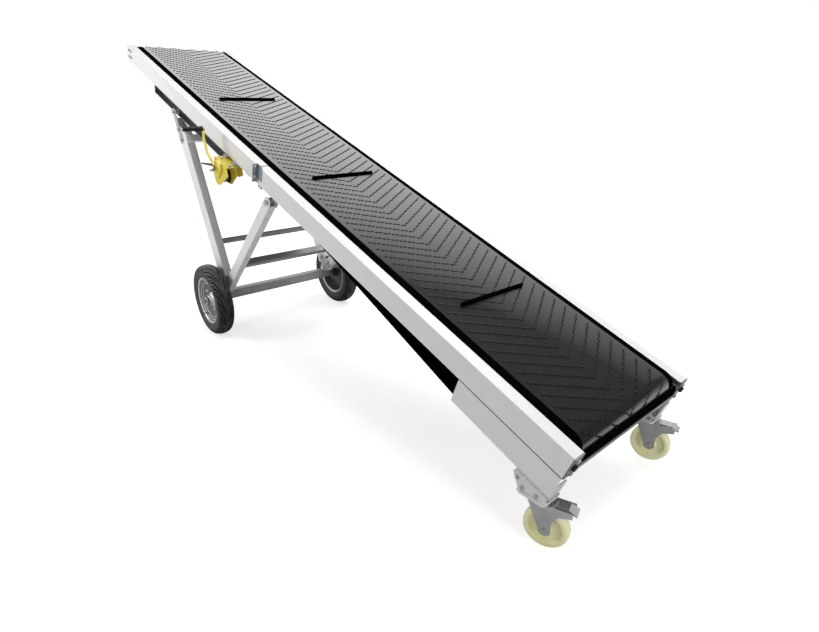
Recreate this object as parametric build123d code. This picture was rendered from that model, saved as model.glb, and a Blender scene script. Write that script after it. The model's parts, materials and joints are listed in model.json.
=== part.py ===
from build123d import *
import math
import os

# Portable belt conveyor: a chevron belt on an inclined bed, carried on two casters at the low tail end
# and on a folding wheeled undercarriage that a hand winch raises. Millimetres, +Z up, +X towards the
# high head end, +Y the winch side. The origin is on the ground, on the mid-plane, under the wheel axle.

# The bed
INCLINE = 20.0  # degrees that the bed rises towards the head
TAIL_CORNER_RISE = 14.6  # tail corner of the tail panel above the caster plate
AXLE_FROM_TAIL = 2493.0  # level distance from the rails' tail ends to the wheel axle
BED_LENGTH = 3950.0
BED_WIDTH = 730.0  # over the two rails
RAIL_FLANGE = 50.0
RAIL_HEIGHT = 94.0
SHEET = 3.0  # folded sheet of the rails, panels and channels
TAIL_PANEL_LENGTH = 455.0
TAIL_PANEL_HEIGHT = 105.0

# The belt and what it runs on
BELT_WIDTH = 620.0
BELT_THICKNESS = 8.0
BELT_SEAT = 0.2  # gap between the belt and the drums inside it
DRUM_RADIUS = 40.0
DRUM_FROM_END = 62.0  # drum centre line to the end of the rails
DRUM_FACE = 600.0
SHAFT_RADIUS = 12.5
SNUB_RADIUS = 38.0
SNUB_U = 420.0
SNUB_N = -187.0
IDLER_RADIUS = 30.0
IDLER_U = 2170.0
IDLER_SHAFT_RADIUS = 8.0
CLEAT_WIDTH = 362.0
CLEAT_HEIGHT = 18.0
CLEAT_THICKNESS = 7.0
FIRST_CLEAT_U = 680.0
CLEAT_PITCH = 1083.0
CLEAT_COUNT = 3  # on each run of the belt
CLEAT_STAGGER = 0.55  # of the pitch, from a cleat of the top run to the next of the return run
CLEAT_FOOT = 0.9  # half width of a cleat at its foot and at its tip, of its thickness
CLEAT_TIP = 0.5
CLEAT_ROOT = 1.0  # depth that a cleat is moulded into the belt
CHEVRON_PITCH = 56.5
CHEVRON_SLOPE = 0.6  # of the arms, along the belt for each unit across it
CHEVRON_REACH = 258.0  # ends of the arms from the belt's centre line
CHEVRON_WIDTH = 5.0
CHEVRON_HEIGHT = 2.5
CHEVRON_LEAST = 12.0  # shortest piece of an arm that is kept at the end of a run
CHEVRON_MARGIN = 4.0  # from the end of a straight run
CROSS_MEMBER_WIDTH = 40.0
CROSS_MEMBER_HEIGHT = 36.0
CROSS_MEMBER_COUNT = 6
CROSS_MEMBER_FIRST_U = 300.0
BLOCK_LENGTH = 56.0  # bearing blocks at both ends of each drum shaft
BLOCK_HEIGHT = 60.0
BLOCK_DEPTH = 30.0
END_PLATE = 5.0
END_STRIP_HEIGHT = 22.0
END_STRIP_DROP = 45.0  # lower edge of the strip below the drum's centre line
TAKE_UP_RADIUS = 6.0
HEX_SIZE = 1.7  # corner radius of a nut or bolt head, of the radius of its thread
SHAFT_END_GAP = 4.0
HANGER_REACH = 18.0  # half width of the idler's hangers, and their reach past its shaft
HANGER_FOOT_INSET = 6.0

# The guide channels under the rails, where the strut rollers run
CHANNEL_START_U = 2397.0
CHANNEL_LENGTH = 1024.0
CHANNEL_HEIGHT = 50.0
CHANNEL_DEPTH = 44.0
CHANNEL_STOP = 3.0  # end stop at the head end

# The undercarriage
PIVOT_U = 1826.0  # rear frame pivot, below the rails
PIVOT_DROP = 31.0  # pivot axis below the underside of the rails
PIN_RADIUS = 8.0
PIN_FIT = 0.08
LUG_THICKNESS = 5.5
LUG_WIDTH = 60.0
PIN_END = 12.0  # pin beyond the face that it holds
NUT_HEIGHT = 8.0
LEG_OUTSET = 15.0  # outer faces of the rear legs outside the rails
REAR_LEG_DEPTH = 38.0
REAR_LEG_WIDTH = 56.0
REAR_LEG_FOOT_X = -11.0  # where its centre line meets the top of the axle beam
REAR_BAR_HEIGHT = 485.0
REAR_BAR_WIDTH = 40.0
REAR_BAR_DEPTH = 36.0
HINGE_X = -12.0  # strut hinge, from the wheel axle
HINGE_Z = 351.5
HINGE_PLATE = 6.0
HINGE_PAD_HALF = 45.0  # half length of the pad on the rear leg
HINGE_EYE_RADIUS = 24.0
STRUT_OUTSET = 1.0  # outer faces of the front legs outside those of the rear legs
STRUT_STEP = 7.0  # front legs deeper than the rear legs
STRUT_FOOT = 30.0  # front leg below its hinge
STRUT_TOP_HEAD = 26.0  # ends of the sloping cut at its top, below the roller's axis
STRUT_TOP_TAIL = 154.0
STRUT_WIDTH = 103.0
STRUT_ANGLE = 67.7  # degrees above level
TUBE_WALL = 3.0
ROLLER_RADIUS = 14.0
ROLLER_LENGTH = 22.0
ROLLER_U = 3032.0
ROLLER_N = -125.3
ROLLER_PLATE = 6.0
ROLLER_PLATE_WIDTH = 44.0
ROLLER_PLATE_LENGTH = 190.0
ROLLER_PLATE_TAPER = 0.8  # width at the roller, of the width at the foot
ROLLER_INSET = 14.0  # inner face of the roller from the channel's web
ROLLER_PIN = 0.5  # of the roller's radius
TOP_BEAM_WIDTH = 40.0
TOP_BEAM_DEPTH = 24.0
TOP_BEAM_FROM_ROLLER = 196.0
STRUT_BAR_HEIGHT = 556.0
STRUT_BAR_WIDTH = 40.0
STRUT_BAR_DEPTH = 25.0
AXLE_BEAM_WIDTH = 50.0
AXLE_BEAM_HEIGHT = 54.0
AXLE_IN_BEAM = 12.0  # axle centre line above the underside of the beam
STUB_RADIUS = 10.0
STUB_COLLAR = 5.0
STUB_END = 22.0  # stub axle beyond the wheel's hub
AXLE_NUT_HEIGHT = 14.0
BEAM_END = 6.0
BODY_GAP = 0.5  # between faces of pieces that turn on each other

# The road wheels
TYRE_RADIUS = 220.0
TYRE_WIDTH = 98.0
WHEEL_OUTSET = 73.0  # middle of a wheel outside the rear leg's outer face
RIM_RADIUS = 136.0
RIM_FLANGE_RADIUS = 144.0
RIM_WIDTH = 76.0
HUB_RADIUS = 30.0
HUB_LENGTH = 84.0
HUB_NUT_RADIUS = 15.0
RIM_EDGE = 6.4  # rim inside the bead of the tyre
RIM_SHEET = 6.0
DISC_NECK = 52.0  # radius where the disc leaves the hub
DISC_RADIUS = 108.0  # radius of its shoulder
DISC_FACE = 20.0  # shoulder outside the middle of the wheel
BEAD_GAP = 0.9
TYRE_SHOULDER = 36.0  # widest place of the tyre below its crown
TYRE_STEPS = 4  # facets from the crown to the widest place
TYRE_SQUARE = 0.85  # squareness of its section, 1 is round
BEAD_INSET = 8.0

# The casters
CASTER_RADIUS = 75.0
CASTER_WIDTH = 38.0
CASTER_FROM_TAIL = 118.0
CASTER_INSET = 18.0  # swivel axis inside the rail's outer face
CASTER_TRAIL = 38.0
CASTER_EDGE = 8.0  # chamfer of the tread
CASTER_WEB = 14.0  # thickness of the web between hub and tread
CASTER_HUB = 20.0
CASTER_RECESS = 56.0  # outer radius of the recess in its sides
CASTER_DRAFT = 5.0
CASTER_PLATE_TOP = 190.0
CASTER_PLATE = 6.0
CASTER_PLATE_LENGTH = 105.0
CASTER_PLATE_WIDTH = 84.0
CASTER_YAWS = {"left": -19.5, "right": -15.0}
FORK_LEAD = 22.0  # fork's sides ahead of the swivel axis
FORK_WING = 118.0  # and behind it
FORK_WING_HEIGHT = 20.0
FORK_EYE_RADIUS = 20.0
FORK_SHEET = 4.0
CROWN_SHEET = 7.0
PEDAL_START = 62.0  # brake pedal from the swivel axis
PEDAL_END = 104.0
PEDAL_WIDTH = 40.0
PEDAL_RISE = 4.0
PEDAL_TAB = 26.0
RACE_HEIGHT = 10.0
FORK_BOLT_END = 10.0
FORK_NUT = 7.0
BRACKET_SHEET = 5.0
BRACKET_STRIP = 132.0  # length of the bracket's strip under the tail panel
BRACKET_LIP = 17.0  # strip outside the rail
BRACKET_TAIL = 72.0
FORK_GAP = 5.0  # between the wheel's sides and the fork's sides
SWIVEL_RADIUS = 34.0
AXLE_BOLT_RADIUS = 6.0

# The winch, placed along the bed
WINCH_HUB_U = 2268.0
WINCH_HUB_N = -140.0
WINCH_DRUM_U = 2262.0
WINCH_DRUM_N = -190.0
WINCH_PLATE_N = -105.0
WINCH_TAIL_U = 2183.0
WINCH_HEAD_U = 2330.0
WINCH_OUTSET = 63.0  # outer cheek outside the rail
WINCH_WIDTH = 86.0
WINCH_SHEET = 4.0
WINCH_DRUM_LENGTH = 46.0
WINCH_DRUM_RADIUS = 24.0
WINCH_BLOCK = 40.0  # length of the blocks under the rail
WINCH_BLOCK_INSET = 8.0
WINCH_BLOCK_OUTSET = 14.0
OUTER_LOBE = (2285.0, -195.0, 48.0)  # place along and above the bed, and radius
MIDDLE_LOBE = (2246.0, -188.0, 38.0)
INNER_LOBE = (2220.0, -150.0, 26.0)
CHEEK_HEEL = 40.0  # tail corner of the outer cheek below its top edge
COVER_RADIUS = 38.0
COVER_DEPTH = 15.0
COVER_BOSS = 4.0
CRANK_SHAFT_RADIUS = 8.0
CRANK_BAR = 6.0
CRANK_BAR_WIDTH = 22.0
GRIP_RADIUS = 12.0
GRIP_LENGTH = 104.0
GRIP_CHAMFER = 2.5

# The bracket on the left rail and the knob under it
BRACKET_U = 1966.0  # head-side face of its flange
BRACKET_BACK = 48.0
BRACKET_DEPTH = 27.0
BRACKET_TOP = 12.0  # above the rail
BRACKET_HEIGHT = 92.0
BRACKET_BACK_HEIGHT = 74.0
STRAP_WIDTH = 12.0
STRAP_THICKNESS = 1.5
KNOB_U = 1974.0
KNOB_INSET = 22.0
KNOB_SIZE = (36.0, 8.0, 14.0)
KNOB_STEM_RADIUS = 5.0
KNOB_STEM = 16.0

# Worked out from the sizes above
SIN = math.sin(math.radians(INCLINE))
COS = math.cos(math.radians(INCLINE))
HALF_WIDTH = BED_WIDTH / 2
TAIL_TOP_HEIGHT = CASTER_PLATE_TOP + TAIL_CORNER_RISE + (RAIL_HEIGHT + TAIL_PANEL_HEIGHT) * COS
REAR_SPAN = BED_WIDTH + 2 * LEG_OUTSET  # over the outer faces of the rear legs
STRUT_SPAN = REAR_SPAN + 2 * STRUT_OUTSET  # over the outer faces of the front legs
STRUT_DEPTH = REAR_LEG_DEPTH + STRUT_STEP
WHEEL_Y = REAR_SPAN / 2 + WHEEL_OUTSET
CASTER_Y = HALF_WIDTH - CASTER_INSET
WINCH_OUTER_Y = HALF_WIDTH + WINCH_OUTSET
WINCH_INNER_Y = WINCH_OUTER_Y - WINCH_WIDTH
BED_PLACE = Location((-AXLE_FROM_TAIL, 0, TAIL_TOP_HEIGHT), (0, -INCLINE, 0))
INNER_TOP = -SHEET  # underside of the top run of the belt
DRUM_N = INNER_TOP - BELT_SEAT - DRUM_RADIUS
HEAD_U = BED_LENGTH - DRUM_FROM_END
TAIL_U = DRUM_FROM_END
SIDES = {"left": 1, "right": -1}


def bed_point(u, n):
    """Side-view place (x, z) of a point at u along the bed and n above the rails' top edge."""
    x = -AXLE_FROM_TAIL + u * COS - n * SIN
    z = TAIL_TOP_HEIGHT + u * SIN + n * COS
    return x, z


PIVOT_N = -RAIL_HEIGHT - PIVOT_DROP
PIVOT_X, PIVOT_Z = bed_point(PIVOT_U, PIVOT_N)
ROLLER_X, ROLLER_Z = bed_point(ROLLER_U, ROLLER_N)
AXLE_Z = TYRE_RADIUS
BEAM_TOP = AXLE_Z + AXLE_BEAM_HEIGHT - AXLE_IN_BEAM
REAR_ANGLE = math.degrees(math.atan2(PIVOT_Z - BEAM_TOP, PIVOT_X - REAR_LEG_FOOT_X))
CASTER_X = CASTER_FROM_TAIL - AXLE_FROM_TAIL


def slab(x0, x1, y0, y1, z0, z1):
    """Solid box between two opposite corners."""
    centre = Pos((x0 + x1) / 2, (y0 + y1) / 2, (z0 + z1) / 2)
    return centre * Box(abs(x1 - x0), abs(y1 - y0), abs(z1 - z0))


def rod(radius, x, z, y0, y1):
    """Cylinder across the machine, from y0 to y1, about a point of the side view."""
    return Pos(x, (y0 + y1) / 2, z) * Rot(90, 0, 0) * Cylinder(radius, abs(y1 - y0))


def plate(outline, y0, y1):
    """Side-view outline (a sketch in X and Z) given its thickness from y0 to y1."""
    return Pos(0, max(y0, y1), 0) * extrude(Plane.XZ * outline, abs(y1 - y0))


def channel(depth, height, length, wall=SHEET):
    """C-section along +X: web at y = 0, open towards -Y, top face at z = 0."""
    outer = Pos(-depth / 2, -height / 2) * Rectangle(depth, height)
    outer = fillet(outer.vertices().sort_by(Axis.X)[-2:], wall)
    hollow = Pos(-(depth + wall) / 2, -height / 2) * Rectangle(depth - wall, height - 2 * wall)
    return extrude(Plane.YZ * (outer - hollow), length)


def on_bed(shape):
    """Put a shape modelled along the bed (X along it, Z above the rails) into its place."""
    return BED_PLACE * shape


def other_side(shape):
    """Same piece on the other side of the mid-plane."""
    return mirror(shape, about=Plane.XZ)


def both_sides(shape):
    """Left piece and its mirrored twin."""
    return {"left": shape, "right": other_side(shape)}


def pair(shape):
    """Left piece and its mirrored twin in one node."""
    return Compound(children=[shape, other_side(shape)])


def tube_along(length, width, depth, start=0.0):
    """Rectangular tube along +X from start, width in Z and depth in Y, walls TUBE_WALL."""
    body = slab(start, length, -depth / 2, depth / 2, -width / 2, width / 2)
    inside = (width / 2 - TUBE_WALL, depth / 2 - TUBE_WALL)
    bore = slab(start - 1, length + 1, -inside[1], inside[1], -inside[0], inside[0])
    return body - bore


def side_rail():
    """Left rail: folded C-section, flanges inwards."""
    return on_bed(Pos(0, HALF_WIDTH, 0) * channel(RAIL_FLANGE, RAIL_HEIGHT, BED_LENGTH))


def tail_panel():
    """Left panel that deepens the frame at the tail."""
    section = channel(RAIL_FLANGE, TAIL_PANEL_HEIGHT, TAIL_PANEL_LENGTH)
    return on_bed(Pos(0, HALF_WIDTH, -RAIL_HEIGHT) * section)


def slider_bed():
    """Sheet under the top run, seated under the rails' top flanges."""
    half = HALF_WIDTH - SHEET
    start = TAIL_U + DRUM_RADIUS
    return on_bed(slab(start, BED_LENGTH - start, -half, half, INNER_TOP - SHEET, INNER_TOP))


def cross_members():
    """Hat sections that tie the rails under the slider sheet."""
    top = INNER_TOP - SHEET
    half = HALF_WIDTH - SHEET
    last = BED_LENGTH - CROSS_MEMBER_FIRST_U
    pitch = (last - CROSS_MEMBER_FIRST_U) / (CROSS_MEMBER_COUNT - 1)
    members = []
    for index in range(CROSS_MEMBER_COUNT):
        u = CROSS_MEMBER_FIRST_U + index * pitch
        x0 = u - CROSS_MEMBER_WIDTH / 2
        x1 = u + CROSS_MEMBER_WIDTH / 2
        body = slab(x0, x1, -half, half, top - CROSS_MEMBER_HEIGHT, top)
        hollow = slab(x0 + SHEET, x1 - SHEET, -half, half, top - CROSS_MEMBER_HEIGHT, top - SHEET)
        members.append(on_bed(body - hollow))
    return Compound(children=members)


def hexagon(radius, x, z, y0, y1):
    """Nut or bolt head across the machine for a thread of the given radius."""
    return plate(Pos(x, z) * RegularPolygon(radius * HEX_SIZE, 6), y0, y1)


def tangent(centre, radius, towards, side):
    """Point of a circle where the line to another point touches it, on the given side (+1 or -1)."""
    dx = towards[0] - centre[0]
    dz = towards[1] - centre[1]
    reach = math.hypot(dx, dz)
    turn = math.atan2(dz, dx) + side * math.acos(radius / reach)
    return centre[0] + radius * math.cos(turn), centre[1] + radius * math.sin(turn)


def on_circle(centre, radius, angle):
    """Point of a circle at an angle in radians."""
    return centre[0] + radius * math.cos(angle), centre[1] + radius * math.sin(angle)


def bend(centre, radius, start, end):
    """Arc about a drum between two points of its edge, the short way round."""
    dx = start[0] + end[0] - 2 * centre[0]
    dz = start[1] + end[1] - 2 * centre[1]
    middle = on_circle(centre, radius, math.atan2(dz, dx))
    return ThreePointArc(start, middle, end)


def belt_inside():
    """Inner outline of the belt: flat top run, both drums, idler bend and slack run to the snub roller."""
    inner = DRUM_RADIUS + BELT_SEAT
    snub = SNUB_RADIUS + BELT_SEAT
    tail = (TAIL_U, DRUM_N)
    low = (SNUB_U, SNUB_N)
    idler = (IDLER_U, DRUM_N - inner)
    head_low = (HEAD_U, DRUM_N - inner)
    tail_top = (TAIL_U, INNER_TOP)
    head_top = (HEAD_U, INNER_TOP)
    snub_head_side = tangent(low, snub, idler, -1)
    step = math.hypot(SNUB_U - TAIL_U, SNUB_N - DRUM_N)
    heading = math.atan2(SNUB_N - DRUM_N, SNUB_U - TAIL_U)
    turn = heading - math.pi / 2 - math.asin((snub - inner) / step)
    off_tail = on_circle(tail, inner, turn)
    off_snub = on_circle(low, snub, turn)
    edges = [
        Line(tail_top, head_top),
        ThreePointArc(head_top, (HEAD_U + inner, DRUM_N), head_low),
        Line(head_low, idler),
        Line(idler, snub_head_side),
        bend(low, snub, snub_head_side, off_snub),
        Line(off_snub, off_tail),
        bend(tail, inner, off_tail, tail_top),
    ]
    return make_face(Wire(edges))


def cleat_section(u, n, angle):
    """Section of one cleat standing on the belt at (u, n)."""
    foot = CLEAT_THICKNESS * CLEAT_FOOT
    tip = CLEAT_THICKNESS * CLEAT_TIP
    points = [(-foot, -CLEAT_ROOT), (foot, -CLEAT_ROOT), (tip, CLEAT_HEIGHT), (-tip, CLEAT_HEIGHT)]
    return Pos(u, n) * Rot(0, 0, angle) * make_face(Polyline(*points, close=True))


def chevron_outlines(apex, low, high, heading):
    """Outlines of one chevron rib, its arms running from the apex along heading, cut to the run."""
    span = CHEVRON_WIDTH * math.hypot(1, CHEVRON_SLOPE)
    start, end = (low, high - span) if heading > 0 else (-high, -low - span)
    tip = heading * apex
    near = max(0.0, (start - tip) / CHEVRON_SLOPE)
    far = min(CHEVRON_REACH, (end - tip) / CHEVRON_SLOPE)
    if far - near < CHEVRON_LEAST:
        return []
    outer_edge = [(tip + CHEVRON_SLOPE * v, v) for v in (near, far)]
    inner_edge = [(tip + CHEVRON_SLOPE * v + span, v) for v in (far, near)]
    arm = outer_edge + inner_edge
    if near == 0.0:
        twin = [(u, -v) for u, v in reversed(arm[1:3])]
        outlines = [arm + twin]
    else:
        outlines = [arm, [(u, -v) for u, v in arm]]
    return [[(heading * u, heading * v) for u, v in outline] for outline in outlines]


def chevron_run(low, high, heading):
    """Chevron ribs of one straight run, standing on the level face z = 0."""
    ribs = []
    reach = CHEVRON_SLOPE * CHEVRON_REACH
    first = low - reach if heading > 0 else low
    count = int((high - low + reach) / CHEVRON_PITCH)
    for index in range(count + 1):
        apex = first + (index + 0.5) * CHEVRON_PITCH
        for outline in chevron_outlines(apex, low, high, heading):
            face = make_face(Polyline(*outline, close=True))
            ribs.append(Pos(0, 0, -CLEAT_ROOT) * extrude(face, CHEVRON_HEIGHT + CLEAT_ROOT, dir=(0, 0, 1)))
    return ribs


def belt_loop():
    """Belt as one closed loop with its cleats and chevron ribs."""
    inside = belt_inside()
    outside = offset(inside, BELT_THICKNESS, kind=Kind.ARC)
    half = BELT_WIDTH / 2
    belt = plate(outside - inside, -half, half)
    top = INNER_TOP + BELT_THICKNESS
    low = DRUM_N - DRUM_RADIUS - BELT_SEAT - BELT_THICKNESS
    slack = math.degrees(math.atan2(low - SNUB_N + SNUB_RADIUS + BELT_THICKNESS, IDLER_U - SNUB_U))
    # Each cleat: place along the bed, height of the belt's face there, turn of the section
    stations = []
    for index in range(CLEAT_COUNT):
        u = FIRST_CLEAT_U + index * CLEAT_PITCH
        stations.append((u, top, 0))
        back = u + CLEAT_PITCH * CLEAT_STAGGER
        if back < IDLER_U:
            drop = (IDLER_U - back) * math.tan(math.radians(slack))
            stations.append((back, low - drop, 180 + slack))
        elif back < HEAD_U:
            stations.append((back, low, 180))
    for u, n, angle in stations:
        belt += plate(cleat_section(u, n, angle), -CLEAT_WIDTH / 2, CLEAT_WIDTH / 2)
    slope_length = (IDLER_U - SNUB_U) / math.cos(math.radians(slack))
    # Each straight run: place of its face, its start and end, and the way its arms run
    runs = [
        (Pos(0, 0, top), TAIL_U, HEAD_U, 1),
        (Pos(0, 0, low) * Rot(180, 0, 0), IDLER_U, HEAD_U, -1),
        (Pos(IDLER_U, 0, low) * Rot(0, -slack, 0) * Rot(180, 0, 0), -slope_length, 0, -1),
    ]
    ribs = []
    for place, start, end, heading in runs:
        ribs += [place * rib for rib in chevron_run(start + CHEVRON_MARGIN, end - CHEVRON_MARGIN, heading)]
    return on_bed(belt.fuse(*ribs))


def drum(u):
    """Drum with its shaft, which ends inside the rails."""
    half = DRUM_FACE / 2
    shaft_end = HALF_WIDTH - SHEET - SHAFT_END_GAP
    body = rod(DRUM_RADIUS, u, DRUM_N, -half, half)
    return on_bed(body + rod(SHAFT_RADIUS, u, DRUM_N, -shaft_end, shaft_end))


def bearing_block(u):
    """Left bearing block of a drum, seated on the inside of the rail's web."""
    outer = HALF_WIDTH - SHEET
    half = BLOCK_LENGTH / 2
    low = DRUM_N - BLOCK_HEIGHT / 2
    block = slab(u - half, u + half, outer - BLOCK_DEPTH, outer, low, low + BLOCK_HEIGHT)
    return block - rod(SHAFT_RADIUS + PIN_FIT, u, DRUM_N, outer - BLOCK_DEPTH - 1, outer + 1)


def head_bearings():
    """Bearing blocks of the head drum, left and right."""
    return pair(on_bed(bearing_block(HEAD_U)))


def tail_take_ups():
    """Sliding blocks of the tail pulley with their take-up screws."""
    y = HALF_WIDTH - SHEET - BLOCK_DEPTH / 2
    start = -END_PLATE - TAKE_UP_RADIUS
    end = TAIL_U - BLOCK_LENGTH / 2
    along = Pos((start + end) / 2, y, DRUM_N) * Rot(0, 90, 0)
    screw = along * Cylinder(TAKE_UP_RADIUS, end - start)
    head = extrude(Plane.YZ * RegularPolygon(TAKE_UP_RADIUS * HEX_SIZE, 6), TAKE_UP_RADIUS)
    return pair(on_bed(bearing_block(TAIL_U) + screw + Pos(start, y, DRUM_N) * head))


def tail_end_frame():
    """End plates on the rails' tail ends and the strip that joins them across the tail."""
    inner = HALF_WIDTH - RAIL_FLANGE
    low = DRUM_N - END_STRIP_DROP
    cap = slab(-END_PLATE, 0, inner, HALF_WIDTH, -RAIL_HEIGHT, 0)
    y = HALF_WIDTH - SHEET - BLOCK_DEPTH / 2
    hole = Pos(-END_PLATE / 2, y, DRUM_N) * Rot(0, 90, 0) * Cylinder(TAKE_UP_RADIUS + BODY_GAP, END_PLATE * 3)
    cap = cap - hole
    strip = slab(-END_PLATE, SHEET - END_PLATE, -inner, inner, low, low + END_STRIP_HEIGHT)
    return on_bed(cap + other_side(cap) + strip)


def snub_roller():
    """Roller inside the loop that the slack run turns on, its shaft held in the tail panels."""
    half = DRUM_FACE / 2
    end = HALF_WIDTH - SHEET
    body = rod(SNUB_RADIUS, SNUB_U, SNUB_N, -half, half)
    return on_bed(body + rod(IDLER_SHAFT_RADIUS, SNUB_U, SNUB_N, -end, end))


def return_idler():
    """Idler under the return run, in two hangers from the rails' bottom flanges."""
    n = DRUM_N - DRUM_RADIUS - 2 * BELT_SEAT - BELT_THICKNESS - CHEVRON_HEIGHT - IDLER_RADIUS
    inner = HALF_WIDTH - RAIL_FLANGE + 1
    half = inner - NUT_HEIGHT
    shaft_end = inner + SHEET
    body = rod(IDLER_RADIUS, IDLER_U, n, -half, half)
    body += rod(IDLER_SHAFT_RADIUS, IDLER_U, n, -shaft_end, shaft_end)
    u0, u1 = IDLER_U - HANGER_REACH, IDLER_U + HANGER_REACH
    hanger = slab(u0, u1, inner, inner + SHEET, n - HANGER_REACH, -RAIL_HEIGHT)
    hanger += slab(u0, u1, inner, HALF_WIDTH - HANGER_FOOT_INSET, -RAIL_HEIGHT - SHEET, -RAIL_HEIGHT)
    return on_bed(body + hanger + other_side(hanger))


def guide_channel():
    """Left guide channel under the rail, open outwards, with an end stop at its head end."""
    section = Rot(0, 0, 180) * channel(CHANNEL_DEPTH, CHANNEL_HEIGHT, CHANNEL_LENGTH)
    inner = HALF_WIDTH - CHANNEL_DEPTH
    end = CHANNEL_START_U + CHANNEL_LENGTH
    low = -RAIL_HEIGHT - CHANNEL_HEIGHT
    stop = slab(end - CHANNEL_STOP, end, inner + SHEET, HALF_WIDTH, low + SHEET, -RAIL_HEIGHT - SHEET)
    return on_bed(Pos(end, inner, -RAIL_HEIGHT) * section + stop)


def pivot_lugs():
    """Ears under the rails with the pins that the rear legs hang on."""
    outer = REAR_SPAN / 2 - REAR_LEG_DEPTH - BODY_GAP
    inner = outer - LUG_THICKNESS
    pin_in = inner - NUT_HEIGHT
    pin_out = REAR_SPAN / 2 + PIN_END
    half = LUG_WIDTH / 2
    points = [(-half, -RAIL_HEIGHT), (half, -RAIL_HEIGHT), (half, PIVOT_N), (-half, PIVOT_N)]
    ear = make_face(Polyline(*points, close=True)) + Pos(0, PIVOT_N) * Circle(half)
    lug = Pos(PIVOT_U, 0, 0) * plate(ear, inner, outer)
    pin = rod(PIN_RADIUS, PIVOT_U, PIVOT_N, pin_in, pin_out)
    nut = hexagon(PIN_RADIUS, PIVOT_U, PIVOT_N, pin_out - NUT_HEIGHT, pin_out)
    head = hexagon(PIN_RADIUS, PIVOT_U, PIVOT_N, pin_in, inner)
    return pair(on_bed(lug + pin + nut + head))


def rear_leg():
    """Left rear leg: rectangular tube from the pivot down to the axle beam, its top end rounded."""
    length = math.hypot(PIVOT_X - REAR_LEG_FOOT_X, PIVOT_Z - BEAM_TOP) + REAR_LEG_WIDTH
    y = (REAR_SPAN - REAR_LEG_DEPTH) / 2
    half = REAR_LEG_DEPTH / 2
    tube = tube_along(length, REAR_LEG_WIDTH, REAR_LEG_DEPTH)
    boss = Rot(90, 0, 0) * Cylinder(REAR_LEG_WIDTH / 2, REAR_LEG_DEPTH)
    between = half - TUBE_WALL
    cheeks = boss - slab(-REAR_LEG_WIDTH, REAR_LEG_WIDTH, -between, between, -REAR_LEG_WIDTH, REAR_LEG_WIDTH)
    tube = tube + cheeks - Rot(90, 0, 0) * Cylinder(PIN_RADIUS + PIN_FIT, 2 * REAR_LEG_DEPTH)
    leg = Location((PIVOT_X, y, PIVOT_Z), (0, 180 - REAR_ANGLE, 0)) * tube
    below = slab(-length, length, y - 2 * half, y + 2 * half, BEAM_TOP - length, BEAM_TOP)
    return leg - below


def axle_beam():
    """Box beam across the machine with the stub axles of the road wheels."""
    half = REAR_SPAN / 2
    x1 = AXLE_BEAM_WIDTH / 2
    low = BEAM_TOP - AXLE_BEAM_HEIGHT
    body = slab(-x1, x1, -half, half, low, BEAM_TOP)
    inside = x1 - TUBE_WALL
    end = half - BEAM_END
    hollow = slab(-inside, inside, -end, end, low + TUBE_WALL, BEAM_TOP - TUBE_WALL)
    hub_out = WHEEL_Y + HUB_LENGTH / 2
    stub = rod(STUB_RADIUS, 0, AXLE_Z, end, hub_out + STUB_END)
    collar = rod(STUB_RADIUS + STUB_COLLAR, 0, AXLE_Z, half, WHEEL_Y - HUB_LENGTH / 2 - BODY_GAP)
    nut_y = hub_out + BODY_GAP
    nut = plate(Pos(0, AXLE_Z) * RegularPolygon(HUB_NUT_RADIUS, 6), nut_y, nut_y + AXLE_NUT_HEIGHT)
    axle = stub + collar + nut
    return body - hollow + axle + other_side(axle)


def rear_crossbar():
    """Bar between the rear legs."""
    inner = REAR_SPAN / 2 - REAR_LEG_DEPTH
    slope = (PIVOT_X - REAR_LEG_FOOT_X) / (PIVOT_Z - BEAM_TOP)
    x = REAR_LEG_FOOT_X + slope * (REAR_BAR_HEIGHT - BEAM_TOP)
    bar = Box(REAR_BAR_WIDTH, 2 * inner, REAR_BAR_DEPTH)
    bore = Box(REAR_BAR_WIDTH - 2 * TUBE_WALL, 2 * inner, REAR_BAR_DEPTH - 2 * TUBE_WALL)
    return Location((x, 0, REAR_BAR_HEIGHT), (0, 180 - REAR_ANGLE, 0)) * (bar - bore)


def hinge_plates():
    """Plates on the inner faces of the rear legs with the pins of the strut legs."""
    leg_inner = REAR_SPAN / 2 - REAR_LEG_DEPTH
    outer = STRUT_SPAN / 2 - STRUT_DEPTH - BODY_GAP
    inner = outer - HINGE_PLATE
    along = math.radians(REAR_ANGLE)
    ux, uz = math.cos(along), math.sin(along)  # up the rear leg
    reach = (HINGE_X - PIVOT_X) * ux + (HINGE_Z - PIVOT_Z) * uz
    foot_x, foot_z = PIVOT_X + reach * ux, PIVOT_Z + reach * uz
    points = []
    for x, z, half in ((foot_x, foot_z, HINGE_PAD_HALF), (HINGE_X, HINGE_Z, -HINGE_EYE_RADIUS)):
        points += [(x + half * ux, z + half * uz), (x - half * ux, z - half * uz)]
    eye = Pos(HINGE_X, HINGE_Z) * Circle(HINGE_EYE_RADIUS)
    web = plate(make_face(Polyline(*points, close=True)) + eye, inner, outer)
    place = Location((foot_x, (outer + leg_inner) / 2, foot_z), (0, 180 - REAR_ANGLE, 0))
    pad = place * Box(2 * HINGE_PAD_HALF, leg_inner - outer, REAR_LEG_WIDTH - 4 * TUBE_WALL)
    pin_out = STRUT_SPAN / 2 + PIN_END
    pin = rod(PIN_RADIUS, HINGE_X, HINGE_Z, inner - NUT_HEIGHT, pin_out)
    nut = hexagon(PIN_RADIUS, HINGE_X, HINGE_Z, pin_out - NUT_HEIGHT, pin_out)
    return pair(web + pad + pin + nut)


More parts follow.
